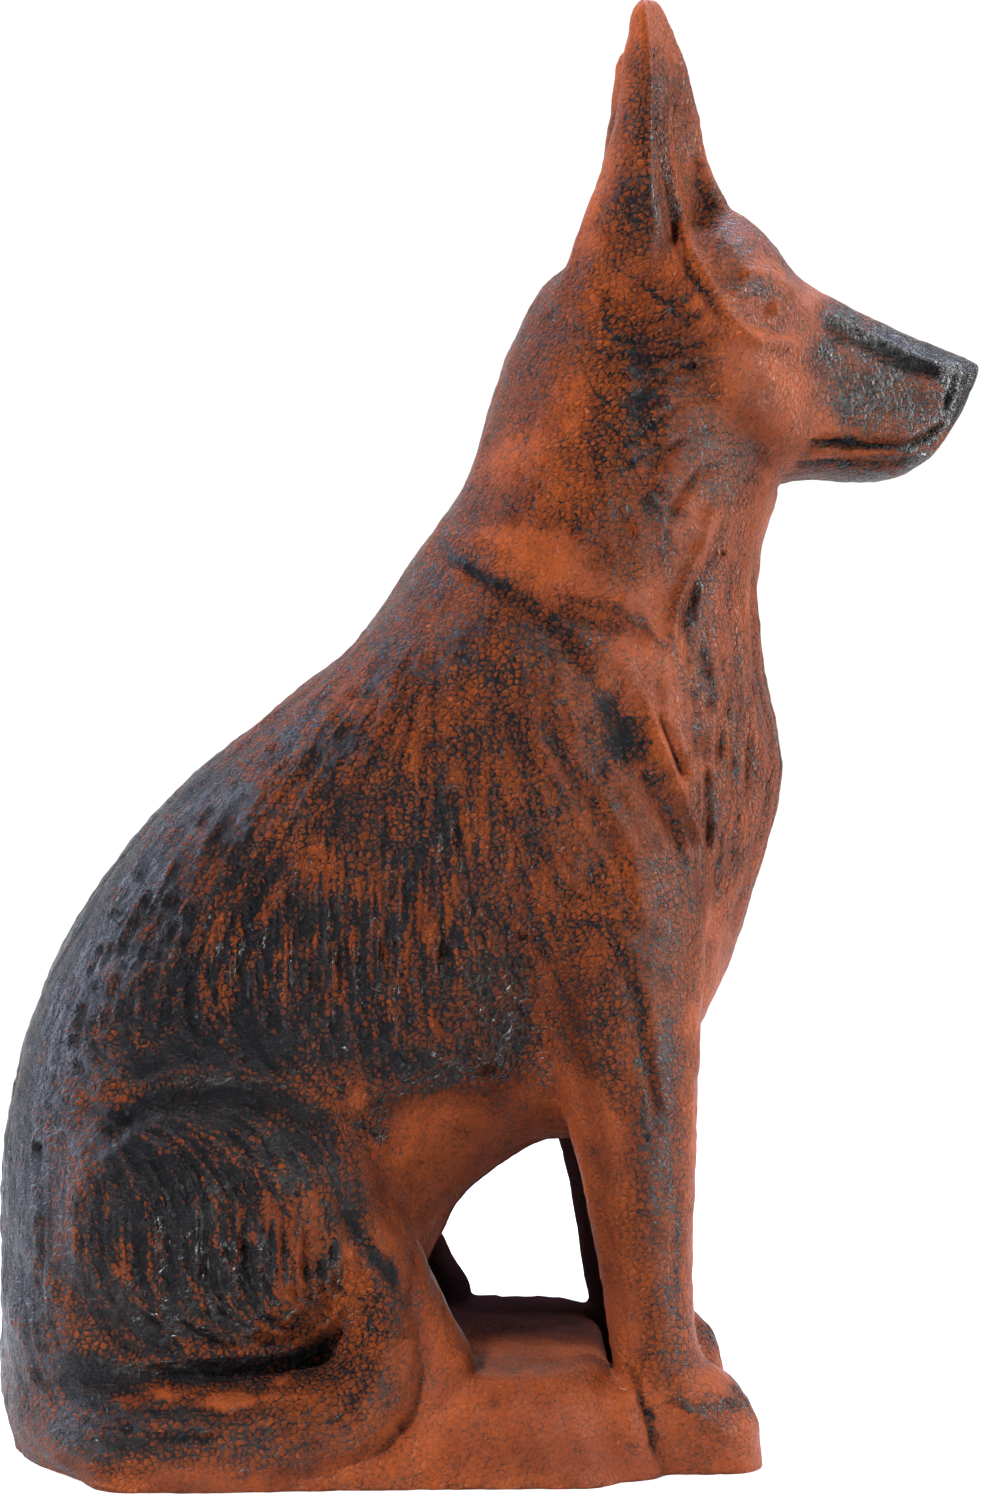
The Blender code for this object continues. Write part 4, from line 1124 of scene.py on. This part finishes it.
def fit_to_solid(mesh):
    """Bring the mesh into the box of the solid, which it must not leave."""
    low, high = (np.array(corner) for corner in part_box(NODE))
    flat = np.empty(len(mesh.vertices) * 3)
    mesh.vertices.foreach_get("co", flat)
    places = flat.reshape(-1, 3)
    mine = np.array((places.min(0), places.max(0)))
    share = (high - low) / (mine[1] - mine[0])
    mesh.vertices.foreach_set("co", ((places - mine[0]) * share + low).ravel())
    mesh.update()


def add_node(tree, kind, settings=None, inputs=None):
    """A node with its settings and, by socket, its values and links."""
    node = tree.nodes.new(kind)
    for name, value in (settings or {}).items():
        setattr(node, name, value)
    for socket, value in (inputs or {}).items():
        if isinstance(value, bpy.types.NodeSocket):
            tree.links.new(value, node.inputs[socket])
        else:
            node.inputs[socket].default_value = value
    return node


def new_material(name):
    """An empty node material and its output node."""
    material = bpy.data.materials.new(name)
    material.use_nodes = True
    material.node_tree.nodes.clear()
    return material, material.node_tree.nodes.new("ShaderNodeOutputMaterial")


def painted_iron(paint, grain):
    """Sand-cast iron, sprayed terracotta brown, with a black patina brushed on and wiped back.

    The skin of the casting is made of small rounded lumps. The paint on it is satin and uneven. The
    patina stays in the creases between the lumps and in the grooves of the fur, so it breaks up
    into veins and specks, and it has a soft bluish gloss where it lies thick. The lumps are drawn
    about twice as coarse as moulding sand leaves them, so that they show.
    """
    material, output = new_material("sand-cast iron, terracotta paint under black patina")
    tree = material.node_tree
    place = add_node(tree, "ShaderNodeTexCoord").outputs["Object"]
    # the third attribute holds painted shade, black between the legs and in strips where shade falls
    patina, relief, painted_shade = (
        add_node(tree, "ShaderNodeAttribute", {"attribute_name": name}).outputs["Fac"]
        for name in ("patina", "relief", "painted_shade")
    )
    lie = add_node(tree, "ShaderNodeAttribute", {"attribute_name": "lie"}).outputs["Vector"]

    # uneven patches of the brushing, the grain of the sand and clouds in the paint
    noises = []
    for size, detail, rough in ((0.007, 3.0, 0.65), (grain, 3.0, 0.75), (0.020, 2.0, 0.55)):
        inputs = {"Vector": place, "Scale": 1 / size, "Detail": detail, "Roughness": rough}
        noises.append(add_node(tree, "ShaderNodeTexNoise", {}, inputs).outputs["Fac"])
    patches, sand, clouds = noises

    # lumps of the skin, 0 at the top of a lump and 1 in the creases between them
    shaken = add_node(
        tree,
        "ShaderNodeVectorMath",
        {"operation": "MULTIPLY_ADD"},
        {0: sand, 1: (2.4 * grain, -1.8 * grain, 2.2 * grain), 2: place},
    ).outputs["Vector"]
    inputs = {"Vector": shaken, "Scale": 1 / (LUMP_GRAINS * grain), "Randomness": 1.0}
    lump = add_node(tree, "ShaderNodeTexVoronoi", {"feature": "DISTANCE_TO_EDGE"}, inputs).outputs["Distance"]
    inputs = {"Value": lump, "From Min": 0.0, "From Max": 0.22, "To Min": 1.0, "To Max": 0.0}
    creases = add_node(tree, "ShaderNodeMapRange", {"interpolation_type": "SMOOTHSTEP"}, inputs).outputs[0]

    # strands along the lie of the fur: each way counts for as much as the fur lies that way
    strands = 0.0
    for degrees in STRAND_TURNS:
        turn = math.radians(degrees)
        size = (FINE_STRAND, FINE_STRAND, FINE_STRAND * STRAND_STRETCH)
        inputs = {"Vector": place, "Rotation": (0.0, turn, 0.0), "Scale": size}
        drawn = add_node(tree, "ShaderNodeMapping", {"vector_type": "TEXTURE"}, inputs).outputs[0]
        inputs = {"Vector": drawn, "Scale": 1.0, "Detail": 0.0}
        stripes = add_node(tree, "ShaderNodeTexNoise", {}, inputs).outputs["Fac"]
        inputs = {0: lie, 1: (math.cos(2 * turn), math.sin(2 * turn), 0.0)}
        like = add_node(tree, "ShaderNodeVectorMath", {"operation": "DOT_PRODUCT"}, inputs).outputs["Value"]
        like = add_node(tree, "ShaderNodeMath", {"operation": "MAXIMUM"}, {0: like, 1: 0.0}).outputs[0]
        share = add_node(tree, "ShaderNodeMath", {"operation": "POWER"}, {0: like, 1: 4.0}).outputs[0]
        middle = {0: stripes, 1: 0.5}
        stripes = add_node(tree, "ShaderNodeMath", {"operation": "SUBTRACT"}, middle).outputs[0]
        inputs = {0: stripes, 1: share, 2: strands}
        strands = add_node(tree, "ShaderNodeMath", {"operation": "MULTIPLY_ADD"}, inputs).outputs[0]

    # the height of the skin in millimetres, and how far the patina stands over what was wiped off
    height, level = 0.0, LEVEL_START
    for part, high, black in (
        (creases, -0.8, 0.29),
        (sand, 4.0, -1.0),
        (strands, 6.0, -1.2),
        (patches, 1.6, 0.5),
        (relief, 0.0, -0.1),
        (patina, 0.0, 0.6),
    ):
        inputs = {0: part, 1: black, 2: level}
        level = add_node(tree, "ShaderNodeMath", {"operation": "MULTIPLY_ADD"}, inputs).outputs[0]
        if high:
            inputs = {0: part, 1: high, 2: height}
            height = add_node(tree, "ShaderNodeMath", {"operation": "MULTIPLY_ADD"}, inputs).outputs[0]

    # shares of each colour, the roughness of the skin and its gloss: from, to, start and end
    bands = []
    for value, low, high, start, end in (
        (clouds, 0.35, 0.65, 0.0, 0.6),
        (patches, 0.36, 0.62, 0.0, 0.35),
        (sand, 0.34, 0.56, 0.4, 0.0),
        (relief, -0.9, 0.3, 0.6, 0.0),
        (creases, 0.2, 1.0, 0.0, 0.35),
        (level, -0.24, -0.02, 0.0, 0.6),
        (level, -0.07, 0.09, 0.0, 1.0),
        (sand, 0.40, 0.62, 0.0, 0.4),
        (patina, -0.1, 0.3, 0.4, 1.0),
        (level, -0.03, 0.04, paint.paint_roughness, paint.patina_roughness),
        (level, -0.03, 0.04, 0.22, 0.5),
    ):
        inputs = {"Value": value, "From Min": low, "From Max": high, "To Min": start, "To Max": end}
        settings = {"interpolation_type": "SMOOTHSTEP"}
        bands.append(add_node(tree, "ShaderNodeMapRange", settings, inputs).outputs["Result"])
    cloudy, mottled, speckled, sunken, creased, thin, cover, grainy, uneven, gloss, sheen = bands

    black, worn, deep = ((*colour, 1.0) for colour in (paint.patina, paint.patina_worn, paint.paint_deep))
    inputs = {0: grainy, 6: black, 7: worn}
    coat = add_node(tree, "ShaderNodeMix", {"data_type": "RGBA"}, inputs).outputs[2]
    hue = (*paint.paint, 1.0)
    for share, colour in (
        (cloudy, deep),
        (mottled, deep),
        (speckled, worn),
        (sunken, deep),
        (creased, deep),
        (thin, worn),
        (cover, coat),
        # painted shade, mixed towards black
        (painted_shade, black),
    ):
        inputs = {0: share, 6: hue, 7: colour}
        hue = add_node(tree, "ShaderNodeMix", {"data_type": "RGBA"}, inputs).outputs[2]

    # where shade is painted in, the surface is also duller
    dulled = []
    for share, part in ((0.5, gloss), (-0.3, sheen)):
        inputs = {0: painted_shade, 1: share, 2: part}
        settings = {"operation": "MULTIPLY_ADD", "use_clamp": True}
        dulled.append(add_node(tree, "ShaderNodeMath", settings, inputs).outputs[0])
    gloss, sheen = dulled
    inputs = {"Strength": uneven, "Distance": MM, "Height": height}
    normal = add_node(tree, "ShaderNodeBump", {}, inputs).outputs[0]
    inputs = {"Base Color": hue, "Roughness": gloss, "Specular IOR Level": sheen, "Normal": normal}
    shader = add_node(tree, "ShaderNodeBsdfPrincipled", {}, inputs)
    tree.links.new(shader.outputs[0], output.inputs[0])
    return material


def studio_paper(colour):
    """Matt white background paper: pale, even and without gloss."""
    material, output = new_material("white background paper")
    tree = material.node_tree
    inputs = {"Base Color": (*colour, 1.0), "Roughness": 0.9, "Specular IOR Level": 0.1}
    shader = add_node(tree, "ShaderNodeBsdfPrincipled", {}, inputs)
    tree.links.new(shader.outputs[0], output.inputs[0])
    return material


class DOG_OT_cast(bpy.types.Operator):
    """Build the fine casting of the dog with its paint and patina"""

    bl_idname = "dog.cast"
    bl_label = "Cast the dog"

    def execute(self, context):
        sizes = context.scene.dog_casting
        mesh = fused_forms(sizes.grid, sizes.blend_radius)
        low, high = (-150, -12), (150, 402)
        fields = (
            {side: combed(low, high, fur_directions, LOCK_WIDE, LOCK_LONG, 3 + side) for side in BOTH},
            combed((-70, -12), (70, 402), down_and_out, LOCK_WIDE, LOCK_LONG, 7),
            combed(low, high, fur_directions, HAIR_WIDE, HAIR_LONG, 8),
        )
        surface = Surface(mesh)
        fur, strokes = fur_relief(surface, fields, sizes.fur)
        sand = sand_skin(surface.places, sizes.sand, sizes.sand_grain)
        depth = carving(surface) + fur - sand
        set_places(mesh, surface.places - surface.normals * depth[:, None])
        left = surface.places[:, 1] > PLAIN_FROM
        elsewhere = sum(not left[list(p.vertices)].all() for p in mesh.polygons for _ in p.vertices[2:])
        mesh = reduced(mesh, elsewhere + sizes.plain_triangles, left)
        mesh = reduced(mesh, sizes.triangles, Surface(mesh).places[:, 1] <= PLAIN_FROM)
        stand_on_ground(mesh)
        surface = Surface(mesh)
        fur, strokes = fur_relief(surface, fields, sizes.fur)
        cut = carving(surface)
        keep_numbers(mesh, "patina", patina_level(surface))
        keep_numbers(mesh, "relief", np.clip(-1.6 * fur - 0.8 * cut, -1.5, 1.5))
        # painted shade between the legs and in strips where shade falls
        keep_numbers(mesh, "painted_shade", shade_painted_in(surface))
        keep_lie(mesh, surface)
        fit_to_solid(mesh)
        mesh.shade_smooth()
        mesh.name = "dog casting"
        mesh.materials.clear()
        mesh.materials.append(painted_iron(context.scene.dog_paint, sizes.sand_grain))
        dog = bpy.data.objects.new("dog_casting", mesh)
        context.scene.collection.objects.link(dog)
        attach(dog, "root")
        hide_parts(NODE)
        return {"FINISHED"}


def down_and_out(points):
    """The lie of the fur seen from the end: down, and a little outwards."""
    lies = np.stack([0.006 * points[:, 0] + 0.12 * np.sin(points[:, 1] / 23), -np.ones(len(points))], 1)
    return lies / np.linalg.norm(lies, axis=1)[:, None]


def add_panel(name, place, aim, size, power, colour):
    """A soft light panel at a place, turned to a point."""
    light = bpy.data.lights.new(name, "AREA")
    light.shape = "RECTANGLE"
    light.size, light.size_y = size
    light.energy = power
    light.color = colour
    panel = bpy.data.objects.new(name, light)
    panel.location = place
    panel.rotation_euler = (Vector(aim) - Vector(place)).to_track_quat("-Z", "Y").to_euler()
    bpy.context.scene.collection.objects.link(panel)


class DOG_OT_stage(bpy.types.Operator):
    """Lay the pale floor and set the soft light and the camera"""

    bl_idname = "dog.stage"
    bl_label = "Set the stage"

    def execute(self, context):
        scene = context.scene
        stage = scene.dog_stage
        low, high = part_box(NODE)
        middle = (low + high) / 2
        bm = bmesh.new()
        bmesh.ops.create_circle(bm, cap_ends=True, segments=96, radius=FLOOR_RADIUS)
        paper = bpy.data.meshes.new("studio floor")
        bm.to_mesh(paper)
        bm.free()
        paper.materials.append(studio_paper(stage.floor))
        floor = bpy.data.objects.new("studio_floor", paper)
        floor.location.z = low.z - 0.0002
        scene.collection.objects.link(floor)

        world = bpy.data.worlds.new("soft surrounding light")
        world.use_nodes = True
        tree = world.node_tree
        background = tree.nodes["Background"]
        background.inputs["Color"].default_value = (*stage.sky, 1.0)
        around = add_node(tree, "ShaderNodeTexCoord").outputs["Generated"]
        away = add_node(tree, "ShaderNodeSeparateXYZ", {}, {0: around}).outputs["Y"]
        # dark behind the camera, lighter at the sides, and white straight behind the dog
        strength = 0.0
        for low_y, high_y, low_share, high_share in ((-0.5, 0.6, 0.03, 0.30), (0.62, 0.88, 0.0, 0.78)):
            inputs = {"Value": away, "From Min": low_y, "From Max": high_y}
            inputs.update({"To Min": low_share, "To Max": high_share})
            settings = {"interpolation_type": "SMOOTHSTEP"}
            share = add_node(tree, "ShaderNodeMapRange", settings, inputs).outputs["Result"]
            inputs = {0: share, 1: strength}
            strength = add_node(tree, "ShaderNodeMath", {"operation": "ADD"}, inputs).outputs[0]
        tree.links.new(strength, background.inputs["Strength"])
        scene.world = world
        power = stage.panel_power
        white, cool = linear("#FFFFFF"), linear("#D6E2FF")
        add_panel("key panel", (-0.6, -0.65, 1.0), middle, (0.12, 0.12), power * 1.75, white)
        add_panel("left panel", (-0.95, 0.5, 0.45), middle, (0.4, 0.8), power * 0.78, cool)
        add_panel("right panel", (1.0, 0.1, 0.5), middle, (0.4, 0.7), power * 1.5, white)
        add_panel("top panel", (0.2, 0.45, 1.2), middle, (0.7, 0.5), power * 1.2, cool)

        data = bpy.data.cameras.new("photo camera")
        data.lens = stage.lens
        data.sensor_width = 36.0
        data.clip_start = 0.01
        camera = bpy.data.objects.new("photo camera", data)
        place = Vector(stage.camera_place)
        camera.location = place
        aim = Vector((0.0, 0.0, place.z)) - place
        camera.rotation_euler = aim.to_track_quat("-Z", "Y").to_euler()
        scene.collection.objects.link(camera)
        scene.camera = camera
        scene.view_settings.view_transform = "Standard"
        return {"FINISHED"}


class DOG_PT_workshop(bpy.types.Panel):
    """Sizes, colours and steps of the dog"""

    bl_idname = "DOG_PT_workshop"
    bl_label = "Cast iron dog"
    bl_space_type = "VIEW_3D"
    bl_region_type = "UI"
    bl_category = "Dog"

    def draw(self, context):
        for group in (context.scene.dog_casting, context.scene.dog_paint, context.scene.dog_stage):
            box = self.layout.box()
            for name in group.__annotations__:
                box.prop(group, name)
        self.layout.operator(DOG_OT_cast.bl_idname)
        self.layout.operator(DOG_OT_stage.bl_idname)


CLASSES = (DogCasting, DogPaint, DogStage, DOG_OT_cast, DOG_OT_stage, DOG_PT_workshop)


def register():
    for kind in CLASSES:
        bpy.utils.register_class(kind)
    bpy.types.Scene.dog_casting = bpy.props.PointerProperty(type=DogCasting)
    bpy.types.Scene.dog_paint = bpy.props.PointerProperty(type=DogPaint)
    bpy.types.Scene.dog_stage = bpy.props.PointerProperty(type=DogStage)


def unregister():
    del bpy.types.Scene.dog_stage
    del bpy.types.Scene.dog_paint
    del bpy.types.Scene.dog_casting
    for kind in reversed(CLASSES):
        bpy.utils.unregister_class(kind)


def main():
    register()
    bpy.ops.dog.cast()
    bpy.ops.dog.stage()


if __name__ == "__main__":
    main()
